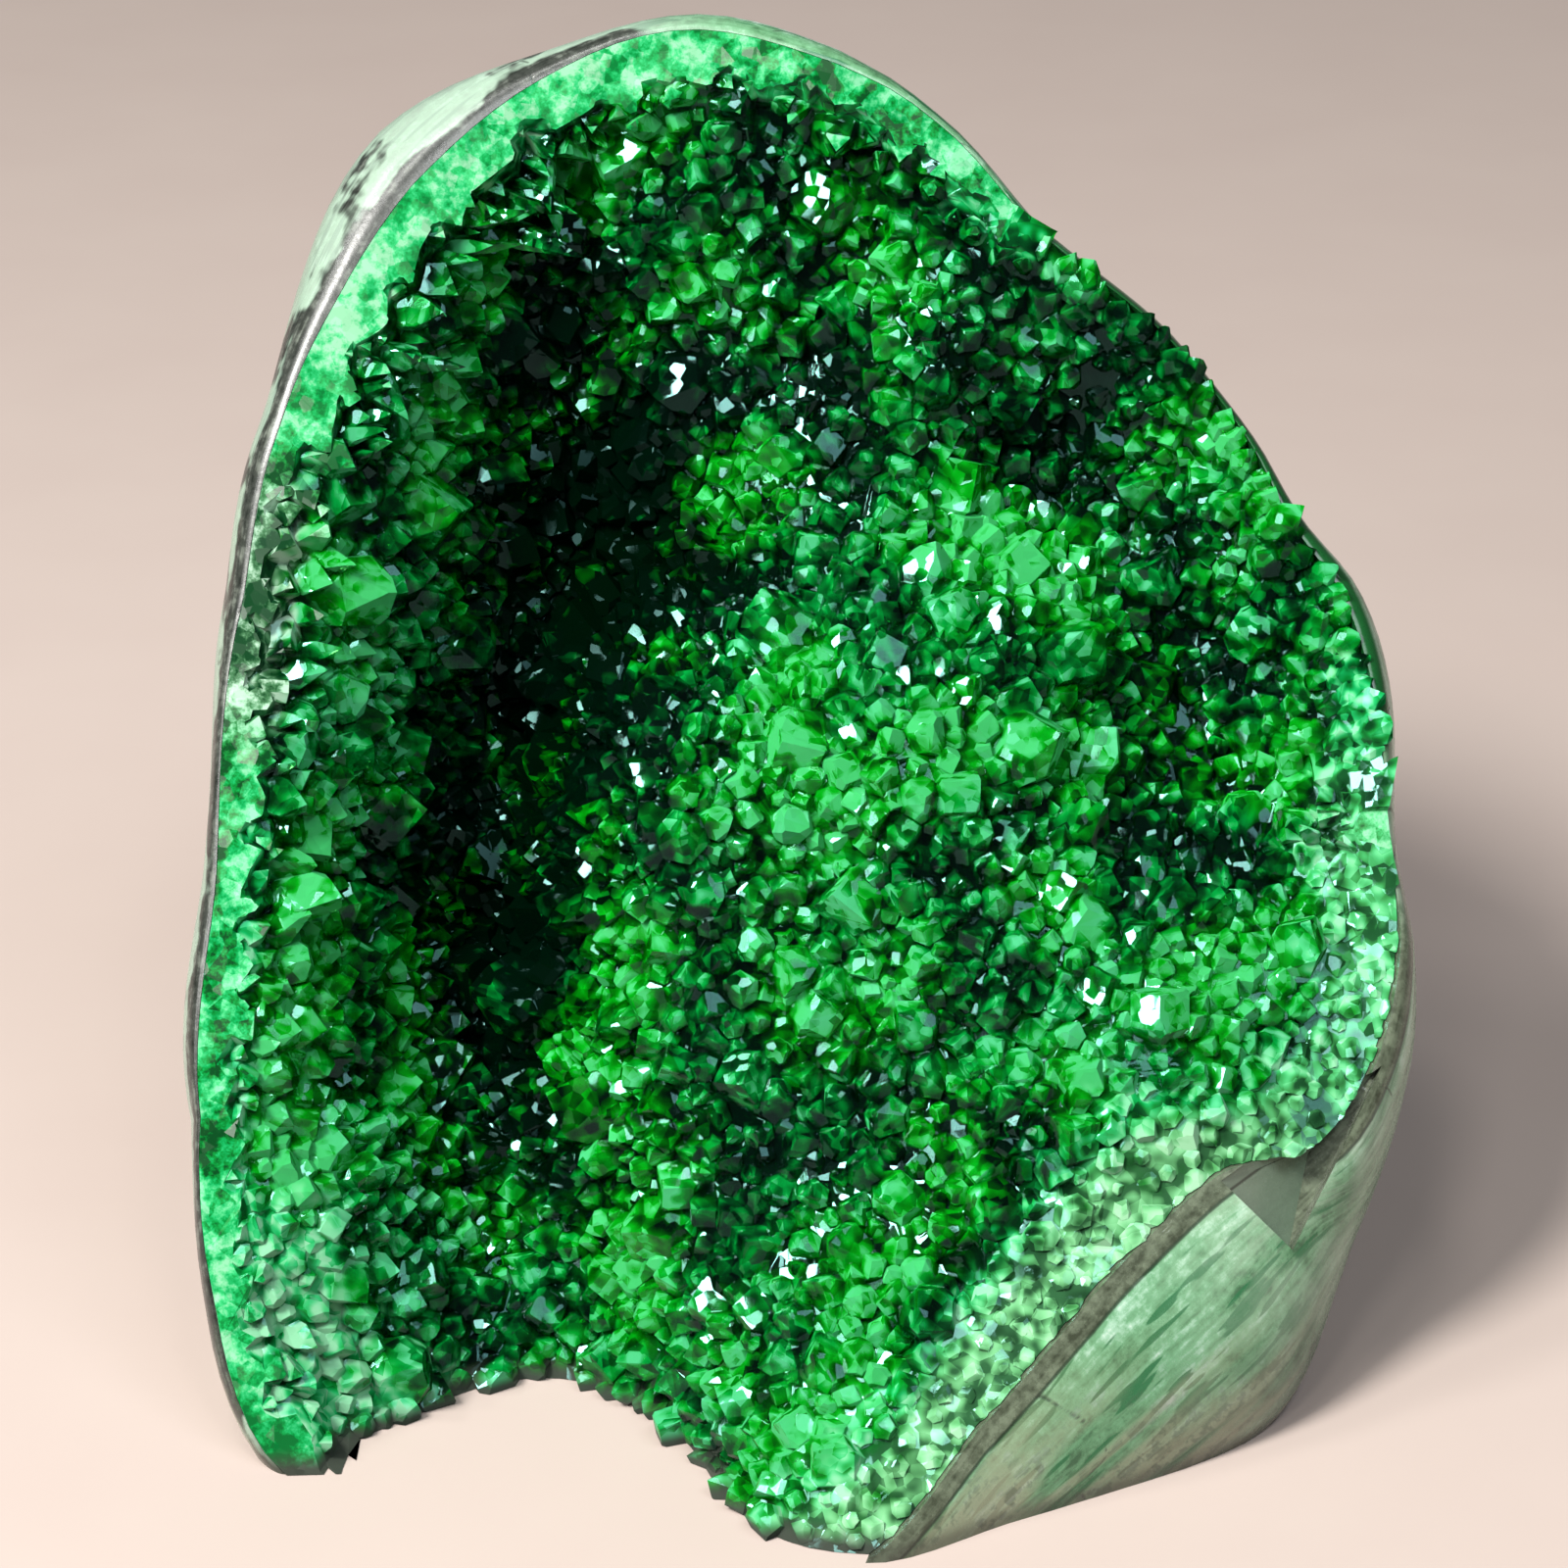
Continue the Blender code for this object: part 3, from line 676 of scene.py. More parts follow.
def make_room(relief, directions):
    """The space the crust may fill: the hollow less a gap, and what is in front of it. Along the ground
    border its lid is the flat cut, whose faces keep 1 as the attribute cut."""
    border, border_n = border_at(directions)[:2]
    natural = natural_share(directions)
    notch, spread, reach = NOTCH_SPILL
    overhang = NATURAL_OVERHANG * natural + SPILL_OVERHANG * spill_share(directions)
    overhang = overhang + reach * np.exp(-(((signed(directions) - notch) / spread) ** 2))
    front, rows = hollow_rows(relief, directions, GAP, GAP)
    marks = [0.0] * len(rows)
    edge = border - GAP
    rows.append(world(*face_point(directions, edge), border_n + GAP))
    lip = border_n + GAP + CUT_RISE * (1.0 - natural)
    rows.append(world(*face_point(directions, edge + overhang), lip))
    marks += [0.0, 0.0]
    high = relief.height(*face_point(directions, edge)) + ROOM_HEIGHT
    level_cut = cut_height(directions)
    lid_lip = level_cut + (high - level_cut) * natural
    rows.append(world(*face_point(directions, edge + overhang - LIP_STEP), lid_lip + LIP_STEP))
    marks.append(0.0)
    for inset, lift, mark in ((CUT_REACH, 0.0, 1.0), (CUT_END, 1.0, 0.0)):
        u, v = face_point(directions, edge - inset)
        free = relief.height(u, v) + ROOM_HEIGHT
        cut = np.maximum(level_cut, relief.height(u, v) + CUT_CLEARANCE)
        rows.append(world(u, v, cut + (free - cut) * np.maximum(lift, natural)))
        marks.append(mark)
    u, v = face_point(directions, edge * 0.5)
    rows.append(world(u, v, relief.height(u, v) + ROOM_HEIGHT))
    marks += [0.0, 0.0]
    back = world(*FACE_CENTRE, relief.height(*FACE_CENTRE) + ROOM_HEIGHT)
    return ring_mesh("crust_room", front, rows, back, marks)


def quartz_kind(rng):
    """A six-sided quartz point of radius 1: its points and triangles. Three large faces meet near the tip,
    with smaller ones between them on most."""
    reach = rng.uniform(1.15, 1.75)
    root = 1.1
    form = bmesh.new()
    bmesh.ops.create_cone(form, cap_ends=True, segments=6, radius1=1.0, radius2=1.0, depth=reach + root)
    bmesh.ops.translate(form, verts=form.verts, vec=(0, 0, (reach - root) / 2))
    for side in range(6):
        large = side % 2 == 1
        if not large and rng.random() < SMALL_FACE_MISSING:
            continue
        inset = rng.uniform(*LARGE_FACE_INSETS) if large else rng.uniform(*SMALL_FACE_INSETS)
        angle = math.radians(side * 60.0 + 30.0)
        slope = TIP_SLOPE + math.radians(rng.uniform(-5.0, 5.0))
        across = math.sin(slope)
        normal = Vector((math.cos(angle) * across, math.sin(angle) * across, math.cos(slope)))
        cut = bmesh.ops.bisect_plane(
            form, geom=form.verts[:] + form.edges[:] + form.faces[:],
            plane_co=Vector((0, 0, reach)) - normal * inset, plane_no=normal, clear_outer=True,
        )
        painted_step_shadow = [e for e in cut["geom_cut"] if isinstance(e, bmesh.types.BMEdge)]
        if painted_step_shadow:
            bmesh.ops.edgeloop_fill(form, edges=painted_step_shadow)
    bmesh.ops.recalc_face_normals(form, faces=form.faces)
    bmesh.ops.triangulate(form, faces=form.faces)
    form.verts.index_update()
    points = np.array([v.co[:] for v in form.verts])
    triangles = np.array([[v.index for v in face.verts] for face in form.faces])
    form.free()
    return points, triangles


class Neighbours:
    """Finds what has been placed near a point, at most a cell away."""

    def __init__(self, cell):
        self.cell = cell
        self.cells = {}

    def key(self, point):
        """The cell that a point is in."""
        return tuple(int(math.floor(value / self.cell)) for value in point)

    def add(self, point, what):
        """Keeps what at a point."""
        self.cells.setdefault(self.key(point), []).append(what)

    def near(self, point):
        """What is kept in the point's cell and those around it."""
        a, b, c = self.key(point)
        for i in (a - 1, a, a + 1):
            for j in (b - 1, b, b + 1):
                for k in (c - 1, c, c + 1):
                    yield from self.cells.get((i, j, k), ())


def clumping(u, v):
    """Slow swings of crystal size over the crust, between -1 and 1."""
    return np.sin(520.0 * u + 210.0 * v + 1.0) * np.sin(470.0 * v - 260.0 * u + 0.4)


def edge_points(relief, rng):
    """The row of small points that leans out over the natural edge, as in crystal_places."""
    step = math.degrees(EDGE_SPACING / EDGE_DISTANCE)
    directions = np.arange(*EDGE_ROW, step)
    count = len(directions)
    directions = directions + rng.uniform(-0.2, 0.2, count) * step
    radii = border_at(directions)[0] - rng.uniform(*EDGE_INSETS, count)
    u, v = face_point(directions, radii)
    points = world(u, v, relief.height(u, v) - EDGE_SINK)
    axes = relief.normal(u, v) + outward(directions) * rng.uniform(*EDGE_LEANS, count)[:, None]
    axes = unit(axes + rng.normal(size=axes.shape) * EDGE_WANDER)
    sizes = rng.uniform(*EDGE_RADII, count)
    tones = rng.random(count)
    reaches = rng.uniform(*EDGE_REACHES, count)
    return zip(map(tuple, points), axes, sizes, tones, reaches)


def crystal_candidates(relief, rng, size):
    """Crystals of one size all over the crust, as in crystal_places, whether or not they stand clear."""
    spacing, least, most, tries = size
    directions = rng.uniform(-180.0, 180.0, tries)
    border = border_at(directions)[0]
    natural = natural_share(directions)
    spill = spill_share(directions)
    radii = np.sqrt(rng.random(tries)) * border
    inside = border - radii
    u, v = face_point(directions, radii)
    foot = relief.height(u, v) - SHEET_SINK
    points = world(u, v, foot)
    at_edge = natural * (1.0 - smooth(inside, *EDGE_ZONE))
    wander = unit(rng.normal(size=(tries, 3)))
    lean = CRYSTAL_LEAN * rng.random(tries)[:, None]
    axes = unit(relief.normal(u, v) + outward(directions) * (EDGE_LEAN * at_edge)[:, None] + wander * lean)
    grains = spill * (1.0 - smooth(inside, *GRAIN_ZONE))
    sizes = rng.uniform(least, most, tries) * (1.0 + SIZE_SWING * clumping(u, v))
    sizes = sizes * (1.0 - GRAIN_SIZE_LOSS * grains)
    room = cut_height(directions) - foot
    ground = (1.0 - natural > 0.5) & (spill <= 0.5)
    band = BAND_CRYSTALS + FROST_WIDTH * np.maximum(frost_share(directions), 0.0)
    banded = ground & (inside < band + rng.uniform(-BAND_RAGGED, BAND_RAGGED, tries))
    under = ground & ~banded & (inside < UNDER_CUT)
    sizes = np.where(under, np.minimum(sizes, np.maximum(room, 0.0) / TIP_HEIGHT), sizes)
    reaches = np.where(banded, (room + PAST_CUT) / sizes, 1.0 - GRAIN_HEIGHT_LOSS * grains)
    tones = rng.random(tries)
    fit = (points[:, 2] > LOWEST_CRYSTAL) & (sizes > least * LEAST_SIZE) & ~(banded & (inside < BAND_MARGIN))
    if size == CRYSTAL_SIZES[0]:
        fit &= ~banded & (grains < 0.3) & (at_edge < 0.1)
    return zip(map(tuple, points[fit]), axes[fit], sizes[fit], tones[fit], reaches[fit])


def crystal_places(relief, rng):
    """Where crystals stand: (point, axis, radius, tone, reach). The row along the natural edge comes first,
    then the rest, the largest first. A reach up to 1 is a share of a crystal's own height. One over 1 is the
    height in radii."""
    places = []
    known = Neighbours(CRYSTAL_SIZES[1][0] * 1.2)

    def stand(place):
        known.add(place[0], len(places))
        places.append(place)

    for place in edge_points(relief, rng):
        stand(place)
    for size in CRYSTAL_SIZES:
        spacing = size[0]
        for place in crystal_candidates(relief, rng, size):
            point = place[0]
            near = range(len(places)) if size == CRYSTAL_SIZES[0] else known.near(point)
            if all(math.dist(point, places[j][0]) > max(spacing, places[j][2] * 0.95) for j in near):
                stand(place)
    return places


def spin_to(axis, turn):
    """Columns that turn z to the axis, after a turn about z."""
    quaternion = Vector(axis).to_track_quat("Z", "Y")
    return np.array(quaternion.to_matrix()) @ np.array(
        ((math.cos(turn), -math.sin(turn), 0.0), (math.sin(turn), math.cos(turn), 0.0), (0.0, 0.0, 1.0))
    )


def crystal_groups(relief):
    """Meshes of crystals, in each of which no two crystals touch."""
    rng = np.random.default_rng(SEED)
    kinds = random.Random(SEED)
    shapes = [quartz_kind(kinds) for _ in range(CRYSTAL_KINDS)]
    groups = []
    placed = []
    known = Neighbours(GROUP_CELL)
    for point, axis, radius, tone, reach in crystal_places(relief, rng):
        points, triangles = shapes[rng.integers(CRYSTAL_KINDS)]
        tall = rng.uniform(*CRYSTAL_HEIGHTS) * reach if reach <= 1.0 else reach / KIND_HEIGHT
        local = points * (radius * np.array((rng.uniform(*CRYSTAL_WIDTHS), 1.0, tall)))
        shaped = local @ spin_to(axis, rng.uniform(0, math.tau)).T + point
        middle = (shaped.min(0) + shaped.max(0)) / 2
        span = np.linalg.norm(shaped - middle, axis=1).max()
        touched = {
            placed[other][2] for other in known.near(middle)
            if np.linalg.norm(middle - placed[other][0]) < span + placed[other][1]
        }
        group = next(k for k in range(len(groups) + 1) if k not in touched)
        if group == len(groups):
            groups.append([])
        known.add(middle, len(placed))
        placed.append((middle, span, group))
        # rise is the height up each crystal. The quartz's colour uses it for painted light towards the tips
        # and painted shade at the feet.
        rise = np.clip(local[:, 2] / (radius * RISE_HEIGHT), 0.0, 1.0)
        groups[group].append((shaped, triangles, rise, tone))
    return [join_crystals(f"crystals_{k}", group) for k, group in enumerate(groups)]


def join_crystals(name, group):
    """One mesh of the crystals of a group, with each one's tone and the height of each point on it."""
    offsets = np.cumsum([0] + [len(points) for points, _, _, _ in group])
    points = np.vstack([points for points, _, _, _ in group])
    triangles = np.vstack([t + start for (_, t, _, _), start in zip(group, offsets)])
    mesh = bpy.data.meshes.new(name)
    mesh.from_pydata(points.tolist(), [], triangles.tolist())
    keep_attribute(mesh, "rise", "POINT", np.concatenate([rise for _, _, rise, _ in group]))
    keep_attribute(mesh, "tone", "FACE", np.concatenate([np.full(len(t), tone) for _, t, _, tone in group]))
    return mesh


def facet_tones(mesh):
    """A number for each facet, the same over all its pieces."""
    flat = np.empty(len(mesh.polygons) * 3, np.float32)
    mesh.polygons.foreach_get("normal", flat)
    normals = flat.reshape(-1, 3).astype(float)
    turned = np.sin(normals @ np.array(FACET_SCATTER[:3])) * FACET_SCATTER[3]
    return turned - np.floor(turned)


def mark_crust(mesh, relief):
    """Keeps on each point how much painted shade darkens the quartz there, how milky, frosted and dusty it
    is, and how the crust lies.
    """
    u, v = face_frame(read_points(mesh))[:2]
    direction, radius = face_polar(u, v)
    inside = border_at(direction)[0] - radius
    # Painted shade: depth darkens the quartz where the relief lies deep, then the patches add painted shade
    # or painted light.
    depth = smooth(-relief.height(u, v), *SHADED_DEPTHS) * DEEP_SHADE
    for place_u, place_v, spread, amount in PAINTED_SHADE_AND_LIGHT_PATCHES:
        distance = np.hypot(u - place_u, v - place_v)
        depth = depth + amount * np.exp(-((distance / spread) ** 2) / 2)
    keep_attribute(mesh, "depth", "POINT", depth)
    keep_attribute(mesh, "facet", "FACE", facet_tones(mesh))
    keep_arrows(mesh, "level", relief.normal(u, v))
    lower_right = along(direction, LOWER_RIGHT_ARC)
    left_foot = along(direction, LEFT_FOOT_ARC)
    right_rim = smooth(direction, *RIGHT_RIM)
    wide = MILKY_WIDTH + (MILKY_LOWER_RIGHT - MILKY_RIGHT_LOSS * right_rim) * lower_right
    wide = wide + MILKY_LEFT_FOOT * left_foot
    pale = np.maximum(1.0 - natural_share(direction), along(direction, PALE_RIGHT_ARC))
    keep_attribute(mesh, "milky", "POINT", pale * (1.0 - smooth(inside, wide * 0.55, wide * 1.5)))
    near_border = 1.0 - smooth(inside, *DUST_FADE)
    frost = frost_share(direction) * near_border + 0.7 * left_foot * (1.0 - smooth(inside, *FOOT_FADE))
    keep_attribute(mesh, "frost", "POINT", frost)
    keep_attribute(mesh, "sage", "POINT", lower_right * (1.0 - 0.6 * right_rim) * near_border)


def make_crust(relief, directions):
    """The quartz lining: its sheet and all its crystals in one closed mesh, trimmed to the room."""
    steps = [("UNION", group) for group in crystal_groups(relief)]
    base_cut = ("DIFFERENCE", floor_block("crust_cut", GAP))
    steps.append(("INTERSECT", shape_solid("room", make_room(relief, directions), [base_cut])))
    mesh = shape_solid("green_crystal_crust", make_sheet(relief, directions), steps)
    keep_largest_body(mesh)
    mark_crust(mesh, relief)
    mesh.shade_flat()
    return mesh


class Channel:
    """A number that a material works out, so that sums on it can be written as sums."""

    def __init__(self, finish, socket):
        self.finish = finish
        self.socket = socket

    def work(self, operation, other):
        """The number that comes of this one and another."""
        node = self.finish.add("ShaderNodeMath", {"operation": operation}, {0: self, 1: other})
        return self.finish.channel(node.outputs[0])

    def __add__(self, other):
        return self.work("ADD", other)

    __radd__ = __add__

    def __mul__(self, other):
        return self.work("MULTIPLY", other)

    __rmul__ = __mul__

    def __sub__(self, other):
        return self.work("SUBTRACT", other)

    def __rsub__(self, other):
        return self * -1.0 + other

    def larger(self, other):
        return self.work("MAXIMUM", other)

    def rise(self, low, high):
        """0 below low, 1 above high and a smooth rise between."""
        node = self.finish.add(
            "ShaderNodeMapRange", {"interpolation_type": "SMOOTHSTEP"},
            {"Value": self, "From Min": low, "From Max": high},
        )
        return self.finish.channel(node.outputs[0])


class Finish:
    """One material and the nodes it is made of."""

    def __init__(self, name):
        self.material = bpy.data.materials.new(name)
        self.material.use_nodes = True
        self.tree = self.material.node_tree
        self.tree.nodes.clear()

    def channel(self, socket):
        return Channel(self, socket)

    def add(self, kind, settings=None, sockets=None):
        """A node of one kind. Its settings go on first, then the values or links of its sockets."""
        node = self.tree.nodes.new(kind)
        for name, setting in (settings or {}).items():
            if name == "stops":
                self.set_stops(node.color_ramp, setting)
            else:
                setattr(node, name, setting)
        for name, value in (sockets or {}).items():
            if isinstance(value, Channel):
                value = value.socket
            if isinstance(value, bpy.types.NodeSocket):
                self.tree.links.new(value, node.inputs[name])
            else:
                node.inputs[name].default_value = value
        return node

    def set_stops(self, ramp, stops):
        """Gives a ramp its colours, each at its place."""
        while len(ramp.elements) < len(stops):
            ramp.elements.new(0.5)
        for element, (place, shade) in zip(ramp.elements, stops):
            element.position = place
            element.color = (*shade, 1.0)

    def kept(self, name):
        """A number stored on the mesh."""
        return self.channel(self.add("ShaderNodeAttribute", {"attribute_name": name}).outputs["Fac"])

    def kept_arrow(self, name):
        """A vector stored on the mesh."""
        return self.add("ShaderNodeAttribute", {"attribute_name": name}).outputs["Vector"]

    def place(self):
        """The point being shaded, in the piece's own axes."""
        return self.add("ShaderNodeTexCoord").outputs["Object"]

    def height(self, place):
        """The height of a place over the base."""
        return self.channel(self.add("ShaderNodeSeparateXYZ", None, {"Vector": place}).outputs["Z"])

    def noise(self, place, scale, detail=2.0, roughness=0.5, distortion=0.0):
        """A soft random pattern around 0.5."""
        node = self.add("ShaderNodeTexNoise", {"noise_dimensions": "3D"}, {
            "Vector": place, "Scale": scale, "Detail": detail, "Roughness": roughness,
            "Distortion": distortion,
        })
        return self.channel(node.outputs["Fac"])

    def flaws(self, place, scale):
        """A random colour for each small cell of the quartz."""
        return self.add("ShaderNodeTexVoronoi", {"feature": "F1"}, {
            "Vector": place, "Scale": scale,
        }).outputs["Color"]

    def red_part(self, colour_socket):
        """The red part of a colour."""
        split = self.add("ShaderNodeSeparateColor", None, {"Color": colour_socket})
        return self.channel(split.outputs["Red"])

    def ramp(self, value, stops):
        """The colour at a value, between the stops."""
        return self.add("ShaderNodeValToRGB", {"stops": stops}, {"Fac": value}).outputs["Color"]

    def blend(self, share, first, second):
        """A colour between two, by share."""
        node = self.add("ShaderNodeMix", {"data_type": "RGBA"}, {0: share, 6: first, 7: second})
        return node.outputs[2]

    def arrow(self, operation, sockets):
        """What one sum on vectors gives."""
        return self.add("ShaderNodeVectorMath", {"operation": operation}, sockets).outputs[0]

    def tilt(self, flaws, amount, softening=0.0):
        """The surface direction, leaning a little another way at each flaw. Softening turns it part of the
        way towards the level of the crust."""
        lean = self.arrow("MULTIPLY_ADD", {0: flaws, 1: (amount,) * 3, 2: (-amount / 2,) * 3})
        facing = self.add("ShaderNodeNewGeometry").outputs["Normal"]
        leaning = self.arrow("ADD", {0: facing, 1: lean})
        if softening:
            level = self.arrow("SCALE", {0: self.kept_arrow("level"), "Scale": softening})
            leaning = self.arrow("ADD", {0: level, 1: leaning})
        return self.arrow("NORMALIZE", {0: leaning})

    def bump(self, height, strength, distance):
        """The surface direction, as a low relief turns it."""
        return self.add("ShaderNodeBump", None, {
            "Height": height, "Strength": strength, "Distance": distance,
        }).outputs["Normal"]

    def surface(self, sockets):
        """A shader with its sockets set."""
        return self.add("ShaderNodeBsdfPrincipled", None, sockets).outputs[0]

    def shared(self, share, first, second):
        """A shader between two, by share."""
        return self.add("ShaderNodeMixShader", None, {0: share, 1: first, 2: second}).outputs[0]

    def close(self, surface, volume=None):
        """The finished material."""
        sockets = {"Surface": surface}
        if volume is not None:
            sockets["Volume"] = volume
        self.add("ShaderNodeOutputMaterial", None, sockets)
        return self.material


def colour(red, green, blue):
    """A colour as sockets take it."""
    return (red, green, blue, 1.0)


def clear_quartz(f, flaws, light):
    """Quartz that light passes through."""
    return f.surface({
        "Base Color": f.blend(light.rise(0.1, 0.9), colour(0.02, 0.60, 0.10), colour(0.30, 1.0, 0.28)),
        "Roughness": 0.03, "IOR": QUARTZ_IOR, "Transmission Weight": 1.0,
        "Specular Tint": GLINT_TINT, "Normal": f.tilt(flaws, FLAW_LEAN, 0.6),
    })


def green_quartz(f, light, teal_share):
    """The green of the points, between lime and teal, darker where light is lower."""
    lime = f.ramp(light, (
        (0.00, (0.0001, 0.003, 0.0008)),
        (0.30, (0.0002, 0.043, 0.0006)),
        (0.52, (0.0004, 0.118, 0.0015)),
        (0.74, (0.0006, 0.232, 0.005)),
        (1.00, (0.040, 0.390, 0.110)),
    ))
    teal = f.ramp(light, (
        (0.00, (0.0001, 0.003, 0.0012)),
        (0.30, (0.0001, 0.028, 0.0045)),
        (0.52, (0.0003, 0.096, 0.012)),
        (0.74, (0.0006, 0.212, 0.030)),
        (1.00, (0.055, 0.400, 0.170)),
    ))
    return f.blend(teal_share, lime, teal)


def pale_quartz(f, mottle):
    """Mint quartz, dusted with grey rock at the lower right and frosted at the upper left."""
    frost = f.kept("frost")
    mottle = mottle + frost * 0.06
    mint = f.ramp(mottle, (
        (0.28, (0.001, 0.035, 0.007)),
        (0.40, (0.001, 0.130, 0.018)),
        (0.52, (0.004, 0.230, 0.060)),
        (0.62, (0.040, 0.330, 0.120)),
        (0.76, (0.140, 0.420, 0.230)),
    ))
    dusty = f.ramp(mottle, (
        (0.28, (0.020, 0.070, 0.028)),
        (0.45, (0.085, 0.230, 0.100)),
        (0.60, (0.150, 0.350, 0.170)),
        (0.78, (0.240, 0.440, 0.260)),
    ))
    frosted = f.ramp(mottle, (
        (0.30, (0.001, 0.105, 0.020)),
        (0.44, (0.003, 0.200, 0.045)),
        (0.56, (0.018, 0.290, 0.095)),
        (0.76, (0.170, 0.380, 0.225)),
    ))
    worn = f.ramp(mottle, (
        (0.30, (0.004, 0.030, 0.010)),
        (0.44, (0.050, 0.110, 0.060)),
        (0.62, (0.300, 0.400, 0.320)),
    ))
    mint = f.blend(f.kept("sage") * 0.8, mint, dusty)
    mint = f.blend(frost * -0.8, mint, worn)
    return f.blend(frost * 0.9, mint, frosted)


def base_line(f, place):
    """1 at the base, where the quartz turns dark grey-green, 0 above it."""
    return 1.0 - f.height(place).rise(0.0004, 0.0022)


def quartz_finish():
    """Dyed green quartz: part clear and part milky, paler and milkier near the ground border."""
    f = Finish("green quartz")
    place = f.place()
    zone = f.noise(place, 105.0, 0.0)
    cloud = f.noise(place, 330.0, 1.0)
    veil = f.noise(place, 850.0, 0.0)
    flaws = f.flaws(place, 1000.0)
    flaw = f.red_part(flaws)
    tone = f.kept("tone")
    facet = f.kept("facet")
    depth = f.kept("depth")
    # Brightness of the quartz: random tones of crystals, facets and patterns, with painted light towards the
    # crystals' tips and painted shade at their feet from rise, less the painted shade of depth.
    light = (
        0.645 + (tone - 0.5) * 0.32 + (facet - 0.5) * 0.20 + (zone - 0.5) * 1.2 + (cloud - 0.5) * 1.1
        + (veil - 0.5) * 0.9 + (flaw - 0.5) * 0.55 + (f.kept("rise") - 0.5) * 0.40 - depth
    )
    # The pale quartz's mottle, darkened too by the painted shade of depth.
    mottle = (
        0.5 + (tone - 0.5) * 0.25 + (veil - 0.5) * 0.7 + (flaw - 0.5) * 0.3 + (cloud - 0.5) * 0.7
        - depth * 0.35
    )
    pale = (f.kept("milky") * 0.75 + (veil - 0.5) * 0.4 + (cloud - 0.5) * 0.9).rise(0.25, 0.75)
    teal_share = (facet * 0.25 + zone * -1.4 + cloud * 0.5).rise(-0.55, -0.05)
    at_base = base_line(f, place)
    shown = f.blend(pale, green_quartz(f, light, teal_share), pale_quartz(f, mottle))
    shown = f.blend(at_base, shown, BASE_DARK)
    milky = f.surface({
        "Base Color": shown, "Roughness": 0.07, "IOR": QUARTZ_IOR, "Specular IOR Level": 0.20,
        "Specular Tint": GLINT_TINT, "Normal": f.tilt(flaws, FLAW_LEAN, pale * 1.4 + 0.6),
    })
    # Where the painted shade of depth is deep, more of the quartz is milky, which dims its reflections as
    # painted shade.
    share = pale * 0.40 + depth * 0.25 + 0.69 + at_base
    lit = f.shared(share, clear_quartz(f, flaws, light), milky)
    # A dull copy of the quartz without reflections, mixed in as painted shade where depth is deepest.
    shaded = f.surface({
        "Base Color": shown, "Roughness": 0.6, "IOR": QUARTZ_IOR, "Specular IOR Level": 0.0,
    })
    soak = f.add("ShaderNodeVolumeAbsorption", None, {
        "Color": colour(0.05, 0.90, 0.30), "Density": 200.0,
    })
    return f.close(f.shared(depth.rise(0.35, 1.00) * 0.8, lit, shaded), soak.outputs[0])


def cut_quartz_finish():
    """Quartz ground flat along the border, with a sugary grain."""
    f = Finish("cut green quartz")
    place = f.place()
    sugar = f.noise(place, 1300.0, 3.0, 0.7)
    blotch = f.noise(place, 300.0, 2.0)
    flaws = f.flaws(place, 900.0)
    mottle = 0.485 + (sugar - 0.5) * 0.9 + (f.red_part(flaws) - 0.5) * 0.22 + (blotch - 0.5) * 1.4
    shown = f.blend(base_line(f, place), pale_quartz(f, mottle), BASE_DARK)
    return f.close(f.surface({
        "Base Color": shown, "Roughness": 0.30, "IOR": QUARTZ_IOR, "Specular IOR Level": 0.08,
        "Normal": f.tilt(flaws, 0.45),
    }))


class Grain:
    """The patterns of the rock: streaks that run round the shell, and patches and fine grain all over."""

    def __init__(self, f, place):
        run = f.kept_arrow("run")
        self.broad = f.noise(run, 0.22, 2.0, 0.5, 0.5)
        self.streaks = f.noise(run, 0.50, 4.0, 0.65, 0.5)
        self.spots = f.noise(run, 1.15, 1.0, 0.5)
        self.thin = f.noise(run, 1.9, 3.0, 0.6)
        self.fine = f.noise(place, 900.0, 4.0, 0.65)
        self.patch = f.noise(place, 150.0, 3.0, 0.6)


def sage_rock(f, grain):
    """Streaked grey-green rock with darker green spots."""
    mixed = (
        grain.broad * 0.35 + grain.streaks * 0.40 + grain.thin * 0.35
        + (grain.fine - 0.5) * 0.45 + (grain.patch - 0.5) * 0.25
    )
    sage = f.ramp(mixed, (
        (0.38, (0.024, 0.080, 0.034)),
        (0.50, (0.074, 0.190, 0.092)),
        (0.60, (0.108, 0.260, 0.137)),
        (0.70, (0.245, 0.408, 0.292)),
        (0.80, (0.520, 0.600, 0.545)),
    ))
    return f.blend(grain.spots.rise(0.57, 0.61) * 0.9, sage, colour(0.006, 0.095, 0.030))


def basalt_rock(f, grain):
    """The dark rock at the upper left."""
    return f.ramp(grain.fine * 0.5 + grain.thin * 0.5, (
        (0.36, (0.006, 0.008, 0.006)),
        (0.52, (0.028, 0.032, 0.027)),
        (0.66, (0.110, 0.125, 0.105)),
        (0.80, (0.340, 0.370, 0.340)),
    ))


def hide_rock(f, grain):
    """The duller rock of the back."""
    return f.ramp(grain.patch * 0.6 + grain.fine * 0.4, (
        (0.36, (0.026, 0.040, 0.028)),
        (0.52, (0.075, 0.110, 0.076)),
        (0.68, (0.180, 0.230, 0.175)),
    ))


def bevel_rock(f, grain):
    """The smooth dark rock of the bevel and the notch."""
    return f.ramp(grain.fine * 0.6 + grain.thin * 0.4, (
        (0.38, (0.030, 0.037, 0.022)),
        (0.62, (0.110, 0.135, 0.090)),
    ))


def cracks(f, place, grain):
    """1 along hair cracks, 0 elsewhere."""
    bend = f.noise(place, 42.0, 3.0, 0.55) - 0.5
    line = bend.larger(bend * -1.0)
    return (1.0 - line.rise(0.0, 0.007)) * (grain.thin * 0.5 + grain.broad * 0.5).rise(0.48, 0.60)


